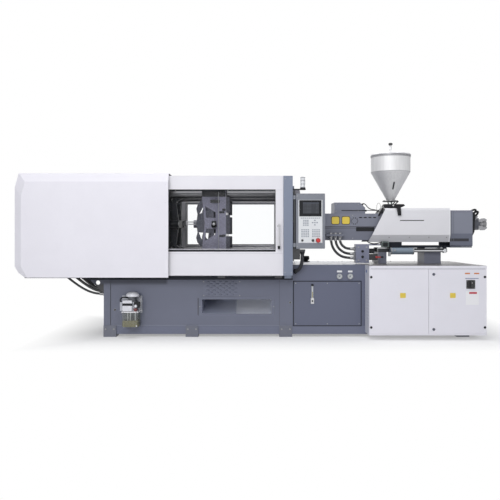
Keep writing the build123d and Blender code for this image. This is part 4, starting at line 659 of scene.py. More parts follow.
bed_ends.turned(hex_nut, (-2.206, -0.35, 0.772), DOWN, 0, 6)
bed_ends.turned(ferrule, (-2.206, -0.35, 0.766), DOWN)
bed_ends.turned(hex_nut, (-1.736, -0.35, 0.461), LEFT, 0, 6)
bed_ends.turned(ferrule, (-1.742, -0.35, 0.461), LEFT)
bed_ends.close()
collar = [(26, 0), (27, 4), (27, 16), (22.5, 22), (21.5, 34)]
conduit_ends = Part("conduit_collars", "base", "black_plastic", black_plastic)
conduit_ends.turned(collar, (0.434, -0.572, 0.937), DOWN, 0, 20)
conduit_ends.turned(collar, (0.3645, -0.4355, 0.7136), (0.31, -0.94, 0.14), 0, 20)
conduit_ends.close()

# Clamp covers, hood and gates: pale lavender powder coat on folded sheet. The faces that look inside are
# painted near-black, as painted shade for the dark inside of the guard.
cover_lavender = (0.79, 0.777, 0.832)
inner_painted_shade = (0.01, 0.011, 0.014)
dress(enamel("cover coat", cover_lavender, 0.46, dust=0.02, shine=0.5,
    # Painted shade: faces that look into the guard painted near-black.
    accents=((lambda f: f.turned_in((-1.8, 0, 1.21)), inner_painted_shade, 0.8),)), "front_clamp_cover",
    "rear_clamp_cover", "clamp_hood")
dress(enamel("gate coat", (0.775, 0.765, 0.808), 0.46, dust=0.02, shine=0.5,
    accents=((lambda f: abs(f.y).inside(0.601, 0.66), (0.62, 0.62, 0.64), 0.3),
    # Painted shade: the gates' inner faces painted near-black.
    (lambda f: abs(f.y).short(0.5968), inner_painted_shade, 0.7),
    # Painted shade: the gate below its sheet painted near-black for the shadow in its bottom track.
    (lambda f: f.z.short(0.6785), (0.05, 0.05, 0.055), 0.5),)), "front_gate", "rear_gate")
dress(enamel("pillar coat", (0.18, 0.21, 0.288), 0.4, dust=0.02,
    accents=((lambda f: f.x.past(0.3285), (0.018, 0.02, 0.024), 0.4),)), "guard_pillars")

# Gate trim: black glazing seal round each window, and the black foot and steel rosettes of each
# grab handle.
for name, x, z, side in (("front", (-1.025, 0.147), (0.933, 1.595), -1),
        ("rear", (-0.925, 0.188), (0.986, 1.507), 1)):
    trim = Part(name + "_window_seal", name + "_gate", "black_plastic", rubber_seal)
    trim.strips((((x[0], z[0]), (x[1], z[0] + 0.009)), ((x[0], z[1] - 0.005), (x[1], z[1])),
        ((x[0], z[0]), (x[0] + 0.005, z[1])), ((x[1] - 0.005, z[0]), (x[1], z[1]))),
        *sorted((side * 0.5975, side * 0.6006)), 0.0008)
    trim.close()
for name, x, side in (("front", 0.181, -1), ("rear", 0.203, 1)):
    grip = Part(name + "_handle_ends", name + "_gate", "black_plastic", black_plastic, zinc)
    grip.turned([(12.5, -1.5), (13.5, 2), (12.5, 30), (9.2, 33)], (x, side * 0.64, 0.963), UP, 0, 24)
    for z in (0.985, 1.206):
        grip.turned([(15, 0), (15, 2), (7.5, 5)], (x, side * 0.6, z), (0, side, 0), 1, 24)
    grip.close()
sill = Part("front_gate_sill", "front_gate", "black_plastic", rubber_seal,
    enamel("sill coat", (0.66, 0.65, 0.7), 0.45))
sill.block((-1.024, -0.597, 0.9425), (0.146, -0.588, 0.9525), 0.001)
sill.block((-1.024, -0.597, 0.953), (0.146, -0.59, 0.964), 0.001, 1)
sill.close()

# Gate frame folds: the shallow bright folds that stiffen the gate's front sheet, and the screws that
# hold the glazing frame from inside.
fold = Part("front_gate_folds", "front_gate", "cover_paint", enamel("fold shade", (0.56, 0.55, 0.61), 0.5))
fold.block((-1.06, -0.6006, 0.913), (0.222, -0.6, 0.9155), 0.0002)
fold.block((0.155, -0.6006, 1.59), (0.222, -0.6, 1.5925), 0.0002)
fold.close()
for name, xs, zs, side in (("front", (-1.04, 0.162), (0.918, 1.61), -1),
        ("rear", (-0.94, 0.203), (0.971, 1.522), 1)):
    across = [xs[0] + (xs[1] - xs[0]) * k / 6 for k in range(7)]
    screws(name + "_glazing_screws", grid(across, side * 0.582, zs), name + "_gate", 0.0045, 0.003,
        facing=(0, -side, 0))
screws("front_cover_screws", grid(-1.016, -0.652, (0.7, 0.95, 1.2, 1.45, 1.64)), "base", 0.005, 0.001,
    slot="cover_paint", finish=enamel("screw coat", (0.7, 0.69, 0.75), 0.5))
screws("rear_cover_screws", grid(-1.016, 0.652, (0.7, 0.95, 1.2, 1.45, 1.64)), "base", 0.005, 0.001,
    facing=BACK)
screws("pillar_screws", grid((0.247, 0.311), -0.62, (0.712, 1.706)), "base", 0.005, 0.002,
    slot="pillar_paint")

# Clear panes: thick polycarbonate behind the gates' windows, faintly grey, with soft wipe marks,
# and the milky plastic of the pump's reservoir.
def clear(name, tint, alpha):
    """A see-through sheet that lets what is behind it show."""
    pane = Finish(name)
    wipe = pane.noise(5, 3, 0.6, stretch=(1, 1, 4))
    return pane.done(pane.veil(tint, alpha + 0.004 * wipe, 0.06 + 0.06 * wipe))


dress(clear("gate pane", (0.995, 0.998, 1.0), 0.002), "front_gate_pane", "rear_gate_pane")
dress(clear("reservoir plastic", (0.8, 0.82, 0.78), 0.1), "lube_reservoir")

# Platens and castings: dark machine enamel on rough cast iron, with the ground faces and the
# plated rods left bare.
def casting(name, colour, accents=()):
    """Painted cast iron with its grain; accents as in enamel."""
    cast = Finish(name)
    grain = cast.noise(160, 5, 0.62)
    fleck = cast.noise(75, 2, 0.7)
    cloud = cast.noise(7, 4, 0.65)
    base = cast.blend(cloud, *shades(colour, 0.6, 1.35))
    base = cast.blend(fleck.past(0.58, 0.12) * 0.5, base, *shades(colour, 1.9))
    surface = accented(cast, base, 0.42 + 0.22 * grain, 0.0, accents)
    return cast.done(cast.shader(*surface, height=grain, lift=0.0008, strength=0.25,
        specular_ior_level=0.12))


platen_side = -0.4145
ground = (0.34, 0.345, 0.36)
plated_rod = (0.55, 0.56, 0.58)
dress(casting("fixed platen casting", (0.13, 0.14, 0.185),
    accents=((lambda f: f.x.short(0.1855), ground, 0.3, 1.0),)), "fixed_platen")
dress(casting("moving platen casting", (0.205, 0.202, 0.26),
    accents=((lambda f: f.x.past(-0.3885), ground, 0.3, 1.0),)), "moving_platen")
# Painted shade: the tail platen and crosshead are a dark casting colour, darkened further for the clamp's
# shaded inside.
dress(casting("tail platen casting", (0.013, 0.014, 0.019),
    accents=((lambda f: f.x.past(-1.28) * abs(f.z - axis_z).short(0.022), plated_rod, 0.14, 1.0),)),
    "tail_platen")
dress(casting("crosshead casting", (0.012, 0.013, 0.017),
    accents=((lambda f: f.x.short(-1.021), plated_rod, 0.14, 1.0),)), "crosshead")
dress(casting("thrust housing casting", (0.1, 0.105, 0.13),
    accents=((lambda f: f.x.short(2.0195), plated_rod, 0.14, 1.0),)), "thrust_housing")

# Links, bars and bright parts: turned, ground or plated steel with fine tool marks. The toggle's links
# are near-black.
def bright_steel(name, colour, roughness, marks=(1, 40, 40), accents=()):
    """Bare metal with fine marks drawn out along an axis."""
    metal = Finish(name)
    lines = metal.noise(60, 3, 0.6, stretch=marks)
    base = metal.blend(metal.noise(4, 3), *shades(colour, 0.85, 1.1))
    surface = accented(metal, base, roughness + 0.12 * lines, 1.0, accents)
    return metal.done(metal.shader(*surface, height=lines, lift=0.0002, strength=0.2))


dress(bright_steel("link steel", (0.03, 0.032, 0.038), 0.45, (40, 1, 40)), "upper_rear_links",
    "lower_rear_links", "upper_front_links", "lower_front_links", "upper_crosshead_links",
    "lower_crosshead_links", "ejector")
dress(bright_steel("tie bar steel", (0.115, 0.115, 0.122), 0.3,
    accents=((lambda f: f.x.inside(0.3605, 0.4225), (0.08, 0.08, 0.1), 0.4, 0.3),)), "tie_bars")
dress(bright_steel("screw chrome", (0.62, 0.63, 0.65), 0.16), "screw")
dress(bright_steel("zinc plate", (0.55, 0.55, 0.56), 0.3, (20, 20, 1)), "panel_key_switch", "hopper_slide",
    "bed_gauges")
dress(bright_steel("barrel steel", (0.36, 0.36, 0.37), 0.34, (40, 40, 1)), "barrel")
dress(enamel("needle black", (0.012, 0.012, 0.014), 0.4, dust=0.1), "left_gauge_needle",
    "right_gauge_needle")

# Toggle pin caps and platen screws: turned steel caps on the pins of the tail platen, and heavy
# socket screws in the platens. Each set moves with its own body.
pin_steel = bright_steel("pin steel", (0.3, 0.3, 0.32), 0.25, (40, 1, 40))
boss_screws = [(-0.56, *place) for y in (-0.33, 0.33) for z in (0.92, 1.56)
    for place in ring((y, z), 0.062, 4, 45)]
screws("moving_boss_screws", boss_screws, "moving_platen", 0.01, 0.008, facing=LEFT, slot="bare_steel",
    finish=pin_steel)
screws("cylinder_screws", grid(-1.499, (-0.31, -0.16, 0.16, 0.31), (1.075, 1.405))
    + grid(-1.499, (-0.31, 0.31), (1.16, 1.32)), "tail_platen", 0.015, 0.014, facing=LEFT,
    slot="bare_steel", finish=pin_steel)
screws("fixed_platen_screws", grid(0.36, (-0.2, 0.2), (1.04, 1.44)), "base", 0.014, 0.014, facing=RIGHT,
    slot="bare_steel", finish=pin_steel)
for name, z in (("upper", 1.57), ("lower", 0.91)):
    cap = Part(name + "_tail_pin_caps", "tail_platen", "bare_steel", pin_steel)
    for side in (-1, 1):
        cap.turned([(34, 0), (34, 4), (30, 8), (12, 8), (10, 6)], (-1.199, side * 0.203, z), (0, side, 0),
            0, 32)
    cap.close()

# Moving platen: scrapers round the tie bars, and on the operator's side two black rests and a
# steel grease line.
platen_trim = Part("moving_platen_scrapers", "moving_platen", "black_plastic", rubber_seal, zinc,
    black_plastic)
for y in (-0.33, 0.33):
    for z in (0.92, 1.56):
        platen_trim.turned([(40.8, 0), (62, 0), (62, 7), (45, 11), (40.8, 9), (40.8, 0)], (-0.388, y, z),
            RIGHT, 0, 40)
for z in (1.36, 1.1):
    platen_trim.block((-0.462, -0.4162, z - 0.012), (-0.405, platen_side, z + 0.012), 0.0006, 2)
platen_trim.rod([(-0.47, -0.418, 0.9), (-0.47, -0.4195, 1.0), (-0.47, -0.4195, 1.45),
    (-0.47, -0.418, 1.58)], 0.003, 1)
platen_trim.close()

# Limit switch on the moving platen's operator side: a turned steel knob on a black plastic plate
# that is screwed to the platen's side.
limit = Part("platen_limit_switch", "moving_platen", "black_plastic", black_plastic, zinc)
limit.block((-0.545, -0.4165, 1.195), (-0.495, platen_side, 1.265), 0.0006)
limit.turned([(14, 0), (16, 6), (15, 20), (10, 24)], (-0.52, -0.4165, 1.23), FRONT, 1)
limit.close()

# Moving platen side: the curved back flanges of its side ribs, the notched bumper strips on its
# front edges, and two plated rods that carry the ejector's position sensor.
flange_paint = casting("platen flange casting", (0.08, 0.081, 0.1))
strip_paint = casting("platen strip casting", (0.07, 0.07, 0.086))
upper_window = [(-0.685, 1.338), (-0.65, 1.413), (-0.572, 1.4)]
lower_window = [(-0.69, 1.14), (-0.668, 1.075), (-0.64, 1.048), (-0.585, 1.065), (-0.552, 1.13)]
flange_plates = (upper_window + [(-0.52, 1.4), (-0.52, 1.5), (-0.66, 1.5), (-0.7, 1.45), (-0.716, 1.4),
    (-0.704, 1.338)],
    [upper_window[0], upper_window[2], (-0.52, 1.4), (-0.52, 1.13), lower_window[-1], lower_window[0],
    (-0.704, 1.14), (-0.716, 1.24), (-0.704, 1.338)],
    lower_window + [(-0.52, 1.13), (-0.52, 0.98), (-0.66, 0.98), (-0.705, 1.03), (-0.718, 1.08),
    (-0.704, 1.14)],)
side_ribs = Part("platen_rib_flanges", "moving_platen", "cast_paint", flange_paint, strip_paint,
    black_plastic)
side_ribs.block((-0.652, -0.419, 1.53), (-0.392, platen_side, 1.604), 0.002, 2)
side_ribs.block((-0.56, -0.418, 1.462), (-0.457, platen_side, 1.497), 0.002, 2)
for low, high in ((1.374, 1.4), (1.094, 1.116)):
    side_ribs.block((-0.43, -0.4165, low), (-0.392, platen_side, high), 0.001, 2)
side_ribs.turned([(30, 0), (30, 2)], (-0.52, platen_side, 1.215), FRONT, 2, 32)
for side in (-1, 1):
    for outline in flange_plates:
        side_ribs.cut(outline, sorted((side * 0.356, side * 0.384)), edge=0.002)
    for low, high in ((0.94, 1.098), (1.122, 1.332), (1.356, 1.53)):
        side_ribs.block((-0.388, min(side * 0.375, side * 0.413), low),
            (-0.345, max(side * 0.375, side * 0.413), high), 0.004, 1)
side_ribs.close()
sensor = Part("ejector_sensor_rods", "moving_platen", "hard_chrome", pin_steel, black_plastic)
for z in (1.231, 1.256):
    sensor.turned([(5.5, 0), (6.5, 1), (6.5, 242), (5.5, 244)], (-0.846, -0.33, z), RIGHT, 0, 20)
sensor.block((-0.856, -0.345, 1.214), (-0.838, -0.315, 1.273), 0.003, 1)
sensor.block((-0.65, -0.356, 1.205), (-0.596, -0.316, 1.292), 0.003, 1)
sensor.close()

# Barrel guard: folded grey sheet in two halves with a dark joint, a terminal box on top, two blank
# yellow plates, a ring of vent holes and a row of pressed louvres.
guard_front, terminal_front = -0.17, -0.13
guard_coat = enamel("barrel guard coat", (0.186, 0.197, 0.25), 0.42,
    accents=((lambda f: f.z.short(1.191), (0.15, 0.16, 0.208), 0.45),
    (lambda f: f.z.inside(1.188, 1.194, 0.001) * f.y.short(-0.1695), seam_dark, 0.5),))
dress(guard_coat, "barrel_guard")
yellow = enamel("plate yellow", (0.74, 0.56, 0.07), 0.4)
guard_trim = Part("barrel_guard_plates", "carriage", "guard_paint", yellow, black_plastic, zinc)
for low, high in ((0.805, 0.895), (0.923, 1.014)):
    guard_trim.cut(rounded((low - 0.004, 1.231), (high + 0.002, 1.325), 0.02),
        (guard_front - 0.0008, guard_front), edge=0.0003, finish=1)
    guard_trim.cut(rounded((low + 0.002, 1.237), (high - 0.004, 1.319), 0.016),
        (guard_front - 0.0016, guard_front), edge=0.0004)
# Painted shade: a flat black plate stands for the dark gap under the guard's upper casing.
guard_trim.block((1.083, guard_front - 0.004, 1.154), (1.288, guard_front, 1.201), 0.0015, 1)
guard_trim.block((0.923, terminal_front - 0.006, 1.389), (1.322, terminal_front + 0.004, 1.397), 0.001, 1)
guard_trim.block((0.7, guard_front - 0.003, 1.205), (1.436, guard_front, 1.209), 0.0008, 1)
guard_trim.close()
screws("guard_vent_ring", [(x, guard_front, z) for x, z in ring((1.066, 1.271), 0.036, 10)], "carriage",
    0.006, 0.0015, slot="black_plastic", finish=black_plastic)
repeat("guard_louvres", hoods, grid([1.135 + 0.053 * k for k in range(4)], guard_front, 1.311), "carriage",
    "guard_paint", Length=0.04, Width=0.013, Rise=0.006, Finish=black_plastic)
screws("guard_screws", grid((0.51, 0.7, 1.045, 1.4), guard_front, (1.075, 1.335)), "carriage", 0.006, 0.003)
screws("rear_guard_screws", grid((0.51, 0.7, 1.045, 1.4), -guard_front, (1.075, 1.335)), "carriage", 0.006,
    0.003, facing=BACK)
screws("terminal_screws", grid((0.862, 1.115), terminal_front, (1.385, 1.462)), "carriage", 0.005, 0.003)

# Terminal connectors and leads: black glands on the box's cut corner, black heater leads, two pale
# loops of thermocouple wire, and at the far left the two black hoses that leave the pump.
glands = Part("terminal_glands", "carriage", "black_plastic", black_plastic, zinc)
for y in (-0.095, -0.035, 0.035, 0.095):
    glands.turned([(12, 0), (12, 10), (8.5, 13), (8.5, 26)], (1.164, y, 1.456), (0.7071, 0, 0.7071), 0, 20)
for y in (-0.1, 0.1):
    glands.turned([(14, 0), (14, 4), (11, 6), (11, 20)], (1.196, y, 1.392), RIGHT, 0, 20)
glands.close()
lead_black = enamel("lead black", (0.02, 0.02, 0.023), 0.5)
lead_pale = enamel("thermocouple braid", (0.52, 0.52, 0.5), 0.5)
leads = (("heater_lead", 0.237, 0.011, lead_black,
    [(1.182, -0.095, 1.474), (1.204, -0.1, 1.468), (1.222, -0.112, 1.435), (1.25, -0.135, 1.408),
    (1.295, -0.15, 1.4), (1.335, -0.15, 1.392), (1.356, -0.147, 1.375), (1.36, -0.145, 1.356)]),
    ("probe_lead_left", 0.262, 0.006, lead_pale,
    [(1.33, -0.12, 1.356), (1.327, -0.12, 1.41), (1.333, -0.121, 1.465), (1.352, -0.122, 1.482),
    (1.371, -0.121, 1.465), (1.377, -0.12, 1.41), (1.375, -0.12, 1.356)]),
    ("probe_lead_right", 0.202, 0.006, lead_pale,
    [(1.385, -0.1, 1.356), (1.384, -0.1, 1.4), (1.389, -0.101, 1.442), (1.401, -0.102, 1.455),
    (1.413, -0.101, 1.442), (1.417, -0.1, 1.4), (1.416, -0.1, 1.356)]),
    ("heater_return", 0.184, 0.013, lead_black,
    [(1.209, -0.16, 1.0515), (1.214, -0.17, 1.034), (1.236, -0.198, 1.019), (1.268, -0.216, 1.012),
    (1.302, -0.218, 1.014), (1.33, -0.216, 1.02), (1.356, -0.214, 1.026)]),
    ("pump_hose", 0.558, 0.03, lead_black,
    flat(-0.372, (-2.19, 0.775), (-2.1, 0.695), (-2.02, 0.63), (-1.95, 0.575), (-1.87, 0.525),
    (-1.8, 0.497), (-1.724, 0.486))),
    ("return_hose", 0.549, 0.026, lead_black,
    flat(-0.402, (-2.19, 0.79), (-2.085, 0.735), (-1.99, 0.665), (-1.92, 0.605), (-1.85, 0.55),
    (-1.79, 0.522), (-1.724, 0.512))),)
for name, length, diameter, braid, route in leads:
    lead = lay_line(name, route, diameter, braid, "base" if name.endswith("hose") else "carriage", 3, 8)

# Injection cover: pale coated shell with a pressed slot in its side, a folded edge at the back and
# screws along the lower bevel.
dress(enamel("shell coat", (0.805, 0.8, 0.835), 0.44,
    # Painted shade: the lower bevel below 1.111 m painted darker.
    accents=((lambda f: f.z.short(1.111), (0.6, 0.6, 0.63), 0.46),
    # Painted highlight: the cover's right end painted lighter.
    (lambda f: f.x.past(2.128), (0.86, 0.86, 0.89), 0.4),
    # Painted shade: faces that look into the shell painted dark.
    (lambda f: f.turned_in((1.7, 0, 1.2)), (0.1, 0.1, 0.12), 0.7),)), "injection_cover")
shell_trim = Part("injection_cover_slots", "carriage", "cover_paint",
    enamel("slot shade", (0.018, 0.018, 0.02), 0.5), enamel("shell fold", (0.62, 0.62, 0.65), 0.45))
for side in (-1, 1):
    near, far = sorted((side * 0.2195, side * 0.2206))
    shell_trim.block((1.571, near, 1.271), (1.842, far, 1.2805), 0.0003)
    shell_trim.block((1.33, near, 1.1125), (2.128, far, 1.115), 0.0003, 1)
shell_trim.close()
screws("shell_screws", grid((1.45, 1.68, 1.9, 2.1), -0.2095, 1.084), "carriage", 0.006, 0.003,
    facing=(0, -0.935, -0.355))

# Hopper: brushed stainless sheet, spun and seam-welded, with a rolled rim. A black sight strip is
# let into its cone, and the pale lid carries a small black ball on its stem.
stainless = Finish("brushed stainless")
streaks = stainless.noise(22, 4, 0.6, stretch=(3, 3, 0.12))
soft = stainless.noise(3, 2)
around = (stainless.x - hopper_x).bearing(stainless.y)
# Painted sheen: the colour swings between lighter and darker tones with the angle round the hopper, and the
# wall is painted lighter than the cone, as painted highlight and shade.
painted_sheen = 0.5 + 0.5 * stainless.add("ShaderNodeMath", {"operation": "COSINE"}, {0: around * 2.0 + 0.6})
painted_lit_wall_tone = stainless.blend(painted_sheen, (0.72, 0.72, 0.73), (0.84, 0.84, 0.845))
painted_shade_cone_tone = stainless.blend(painted_sheen, (0.61, 0.61, 0.625), (0.72, 0.72, 0.73))
steel_tone = stainless.blend(stainless.z.past(1.845, 0.004), painted_shade_cone_tone, painted_lit_wall_tone)
steel_tone = stainless.blend(stainless.z.short(1.5105), steel_tone, (0.015, 0.015, 0.018))
steel_tone = stainless.blend(streaks.past(0.5, 0.3) * 0.22, steel_tone, (0.4, 0.4, 0.42))
seam = stainless.z.inside(1.84, 1.846, 0.001)
dress(stainless.done(stainless.shader(stainless.blend(seam * 0.7, steel_tone, (0.34, 0.34, 0.36)),
    0.43 + 0.1 * streaks + 0.05 * soft, 0.3 * stainless.z.past(1.5105), height=streaks, lift=0.0003,
    strength=0.15)), "hopper")
dress(enamel("lid coat", (0.86, 0.86, 0.87), 0.36,
    accents=((lambda f: f.z.short(2.0365), (0.26, 0.26, 0.28), 0.35, 0.4),
    (lambda f: f.z.past(2.156), (0.016, 0.016, 0.018), 0.3),)), "hopper_lid")
sight = Part("hopper_sight", "carriage", "black_plastic", black_plastic,
    enamel("sight frame", (0.06, 0.06, 0.065), 0.4))
slope = Vector((0, -0.179, 0.323)).normalized()
outward = Vector((0, -slope.z, slope.y)).normalized()
foot = Vector((1.519, -0.1335, 1.6775))
tilt = Vector((0.06, 0, 0)) + slope
for half_width, reach, proud, finish in ((0.0085, 0.047, 0.003, 1), (0.0066, 0.044, 0.0042, 0)):
    loop = [foot + Vector((side * half_width, 0, 0)) + tilt * along
        for side, along in ((-1, -reach), (1, -reach), (1, reach), (-1, reach))]
    sight.slab([corner + outward * proud for corner in loop], [corner - outward * 0.004 for corner in loop],
        0.0015, finish)
sight.close()
rim_bead = Part("hopper_rim_bead", "carriage", "bare_steel", enamel("bead steel", (0.4, 0.4, 0.42), 0.3))
rim_bead.turned([(225.2, 0), (229, 2), (230, 6), (229, 10), (225.2, 12), (225.2, 0)], (hopper_x, 0, 2.012),
    UP, 0, 72)
rim_bead.close()
screws("hopper_foot_screws", [(x, y, 1.51) for x, y in ring((hopper_x, 0), 0.075, 6)], "carriage", 0.008,
    0.008, facing=UP)

# Hopper foot: a black slide bed with a pointed end stop and a hanging latch, a clear sight tube
# above it, and four slanted stays that carry the hopper's flange.
foot_black = enamel("hopper base black", (0.012, 0.012, 0.015), 0.42, shine=0.4)
foot = Part("hopper_foot_frame", "carriage", "black_paint", foot_black, zinc)
for low, high in (((1.438, -0.08, 1.4), (1.598, 0.08, 1.4465)),
        ((1.438, -0.08, 1.4455), (1.4685, 0.08, 1.4565)), ((1.5675, -0.08, 1.4455), (1.598, 0.08, 1.4565)),
        ((1.438, -0.08, 1.4555), (1.598, 0.08, 1.469))):
    foot.block(low, high, 0.0015)
for y in (-0.072, 0.072):
    for lower, upper in ((1.517, 1.506), (1.55, 1.588)):
        foot.rod([(lower, y, 1.464), (upper, y, 1.499)], 0.006)
for x in (1.455, 1.58):
    foot.turned([(6, 0), (6, 3)], (x, -0.08, 1.42), FRONT, 1, 16)
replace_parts(foot.close(), "hopper_base")
tube = Part("hopper_sight_tube", "carriage", "clear_pane", clear("sight tube", (0.97, 0.98, 0.98), 0.01))
tube.turned([(29, 0), (31, 0), (31, 31), (29, 31), (29, 0)], (hopper_x, 0, 1.4685), UP, 0, 32)
tube.close()
foot_trim = Part("hopper_foot_latch", "carriage", "black_paint", foot_black)
foot_trim.cut([(1.412, 1.431), (1.62, 1.431), (1.655, 1.448), (1.64, 1.466), (1.412, 1.466)],
    (-0.128, -0.0805), edge=0.002)
foot_trim.cut([(1.398, 1.418), (1.372, 1.418), (1.33, 1.33), (1.352, 1.33)], (-0.186, -0.081), edge=0.001)
foot_trim.cut([(1.531, 1.425), (1.574, 1.425), (1.58, 1.332), (1.545, 1.329)], (-0.244, -0.2212),
    edge=0.002)
foot_trim.block((1.524, -0.244, 1.421), (1.582, -0.12, 1.431), 0.002)
foot_trim.close()

# Carriage, injection base and seat cylinder: dark machine grey, the cylinder in a greener grey with
# steel bands and a bracket, and a small valve box ahead of it.
dress(enamel("carriage coat", (0.022, 0.024, 0.032), 0.6, shine=0.15,
    accents=((lambda f: f.y.short(-0.19) * f.z.short(0.955), (0.55, 0.56, 0.58), 0.16, 1.0),
    (lambda f: f.z.inside(0.962, 0.9695, 0.001), (0.02, 0.02, 0.024), 0.5),)), "carriage")
dress(enamel("base coat", (0.182, 0.192, 0.25), 0.42,
    accents=((lambda f: f.z.past(0.9553), steel_grey, 0.25, 1.0),
    # Painted shade: a near-black band on the base under the carriage, for the shadowed gap between carriage
    # and bed.
    (lambda f: f.z.inside(0.9145, 0.9553) * f.y.inside(-0.1305, 0.1305), (0.028, 0.03, 0.038), 0.5),
    (lambda f: f.y.short(-0.17), (0.215, 0.27, 0.335), 0.34),)), "injection_base")
seat_trim = Part("seat_cylinder_bands", "base", "bare_steel", zinc,
    enamel("valve box green", (0.06, 0.082, 0.078), 0.4), black_plastic)
for x in (1.466, 1.71):
    seat_trim.turned([(37.5, 0), (39.8, 0), (39.8, 10), (37.5, 10), (37.5, 0)], (x, -0.215, 0.93), RIGHT, 0,
        32)
seat_trim.turned([(8, 0), (8, 12), (12, 12), (12, 24)], (1.5, -0.252, 0.94), FRONT, 0, 6)
seat_trim.cut([(1.44, 0.872), (1.462, 0.872), (1.462, 0.905), (1.52, 0.905), (1.52, 0.918), (1.44, 0.918)],
    (-0.236, -0.205), edge=0.002)
seat_trim.close()
box_trim = Part("carriage_valve_box", "carriage", "cast_paint",
    enamel("valve box coat", (0.06, 0.082, 0.078), 0.4), black_plastic, zinc)
box_trim.block((1.356, -0.25, 0.975), (1.44, -0.206, 1.04), 0.003)
box_trim.block((1.372, -0.256, 0.984), (1.424, -0.249, 1.024), 0.002, 1)
for x in (1.366, 1.43):
    box_trim.turned([(5, 0), (5, 3)], (x, -0.25, 1.032), FRONT, 2, 12)
box_trim.close()

# Rear cover and screw motor: grey folded sheet with two fold lines, a lower bevel painted darker as painted
# shade and a near-black painted shadow band at its foot, and the motor's steel end with its port fittings.
dress(enamel("rear cover coat", (0.225, 0.238, 0.295), 0.42,
    # Painted shade: the lower bevel below 1.128 m painted darker.
    accents=((lambda f: f.z.short(1.128), (0.125, 0.137, 0.185), 0.45),
    # Painted shadow: a near-black band at the cover's foot.
    (lambda f: f.z.inside(1.04, 1.072) * f.x.short(2.36), (0.012, 0.013, 0.02), 0.6),
    (lambda f: f.z.inside(1.365, 1.3925) * f.x.short(2.405), (0.2, 0.205, 0.26), 0.42),
    (lambda f: (f.x.inside(2.163, 2.166, 0.001) | f.x.inside(2.186, 2.19, 0.001)) * f.y.short(-0.185),
    (0.13, 0.14, 0.18), 0.45), (lambda f: f.x.past(2.4035), (0.075, 0.08, 0.1), 0.42, 0.2),
    (lambda f: f.x.past(2.5405), (0.24, 0.24, 0.25), 0.36, 0.7),)), "screw_motor")
motor_steel = enamel("port steel", (0.3, 0.3, 0.32), 0.32,
    accents=((lambda f: f.noise(200, 2), (0.42, 0.42, 0.44), 0.26, 0.9),))
motor_ports = Part("motor_port_fittings", "thrust_housing", "bare_steel", motor_steel, black_plastic)
motor_ports.cut([(2.4035, 1.388), (2.44, 1.372), (2.462, 1.345), (2.462, 1.3), (2.45, 1.275), (2.45, 1.15),
    (2.43, 1.108), (2.4035, 1.098)], (-0.132, -0.08), edge=0.003, finish=1)
for jaw in (((2.52, 1.286), (2.545, 1.302), (2.59, 1.306), (2.616, 1.29), (2.616, 1.278), (2.585, 1.284),
        (2.56, 1.262), (2.52, 1.262)),
        ((2.52, 1.218), (2.56, 1.218), (2.582, 1.196), (2.618, 1.206), (2.618, 1.19), (2.59, 1.168),
        (2.545, 1.166), (2.52, 1.19))):
    motor_ports.cut(list(jaw), (-0.072, -0.046), edge=0.002)
port = [(20, 0), (20, 12), (15, 14), (15, 30), (22, 32), (22, 46), (16, 50)]
for turn in (50, 130):
    lean = radians(turn)
    for x in (2.425, 2.48):
        motor_ports.turned(port, (x, -cos(lean) * 0.072, axis_z + sin(lean) * 0.072),
            (0.25, -cos(lean), sin(lean)), 0, 6)
motor_ports.rod([(2.45, -0.075, 1.345), (2.462, -0.105, 1.372), (2.47, -0.125, 1.398),
    (2.44, -0.135, 1.405), (2.406, -0.13, 1.385)], 0.012, 1)
motor_ports.rod([(2.492, -0.07, 1.34), (2.502, -0.095, 1.362), (2.495, -0.115, 1.385), (2.45, -0.12, 1.37),
    (2.406, -0.115, 1.34)], 0.012, 1)
motor_ports.turned([(46, 0), (56, 2), (56, 14), (46, 16), (46, 0)], (2.56, 0, axis_z), RIGHT, 0, 8)
for y, z in ring((0, axis_z), 0.057, 4, 45):
    motor_ports.turned([(9, 0), (9, 12)], (2.54, y, z), RIGHT, 0, 6)
motor_ports.turned([(26, 0), (26, 4), (12, 5)], (2.6195, 0, axis_z), RIGHT, 1, 24)
motor_ports.close()
rear_foot = Part("rear_cover_foot", "thrust_housing", "guard_paint",
    enamel("foot plate coat", (0.1, 0.11, 0.14), 0.45))
rear_foot.block((2.15, -0.188, 0.968), (2.398, -0.15, 0.983), 0.002)
rear_foot.block((2.15, 0.15, 0.968), (2.398, 0.188, 0.983), 0.002)
rear_foot.close()

# Hose manifold and shut-off valve: a drilled block with steel adapters, plugs and screws, and a
# black valve with a red lever.
dress(enamel("manifold coat", (0.195, 0.206, 0.29), 0.4,
    accents=((lambda f: f.x.past(1.2035) * f.z.short(0.95), (0.018, 0.018, 0.021), 0.4),)), "hose_manifold")
dress(enamel("lever red", (0.42, 0.03, 0.03), 0.35), "valve_lever")
manifold_trim = Part("manifold_fittings", "carriage", "zinc_steel", ferrule_steel, black_plastic)
for x, z in ((1.085, 0.83), (1.085, 0.975), (1.175, 0.83), (1.175, 0.975)):
    manifold_trim.turned([(10, 0), (10, 6), (6, 6), (6, 3)], (x, -0.305, z), FRONT, 0, 6)
for z in (0.868, 0.93):
    manifold_trim.turned([(16, 0), (16, 5), (11, 8), (11, 16)], (1.13, -0.305, z), FRONT, 1, 6)
manifold_trim.block((1.205, -0.304, 0.905), (1.262, -0.252, 0.96), 0.003, 1)
manifold_trim.turned([(14, 0), (14, 18)], (1.255, -0.279, 0.83), DOWN, 0, 6)
manifold_trim.close()
lever_grip = Part("valve_lever_grip", "valve_lever", "valve_red", black_plastic)
lever_grip.cut(rounded((1.33, 0.855), (1.362, 0.875), 0.006), (-0.317, -0.303), edge=0.0025)
lever_grip.close()

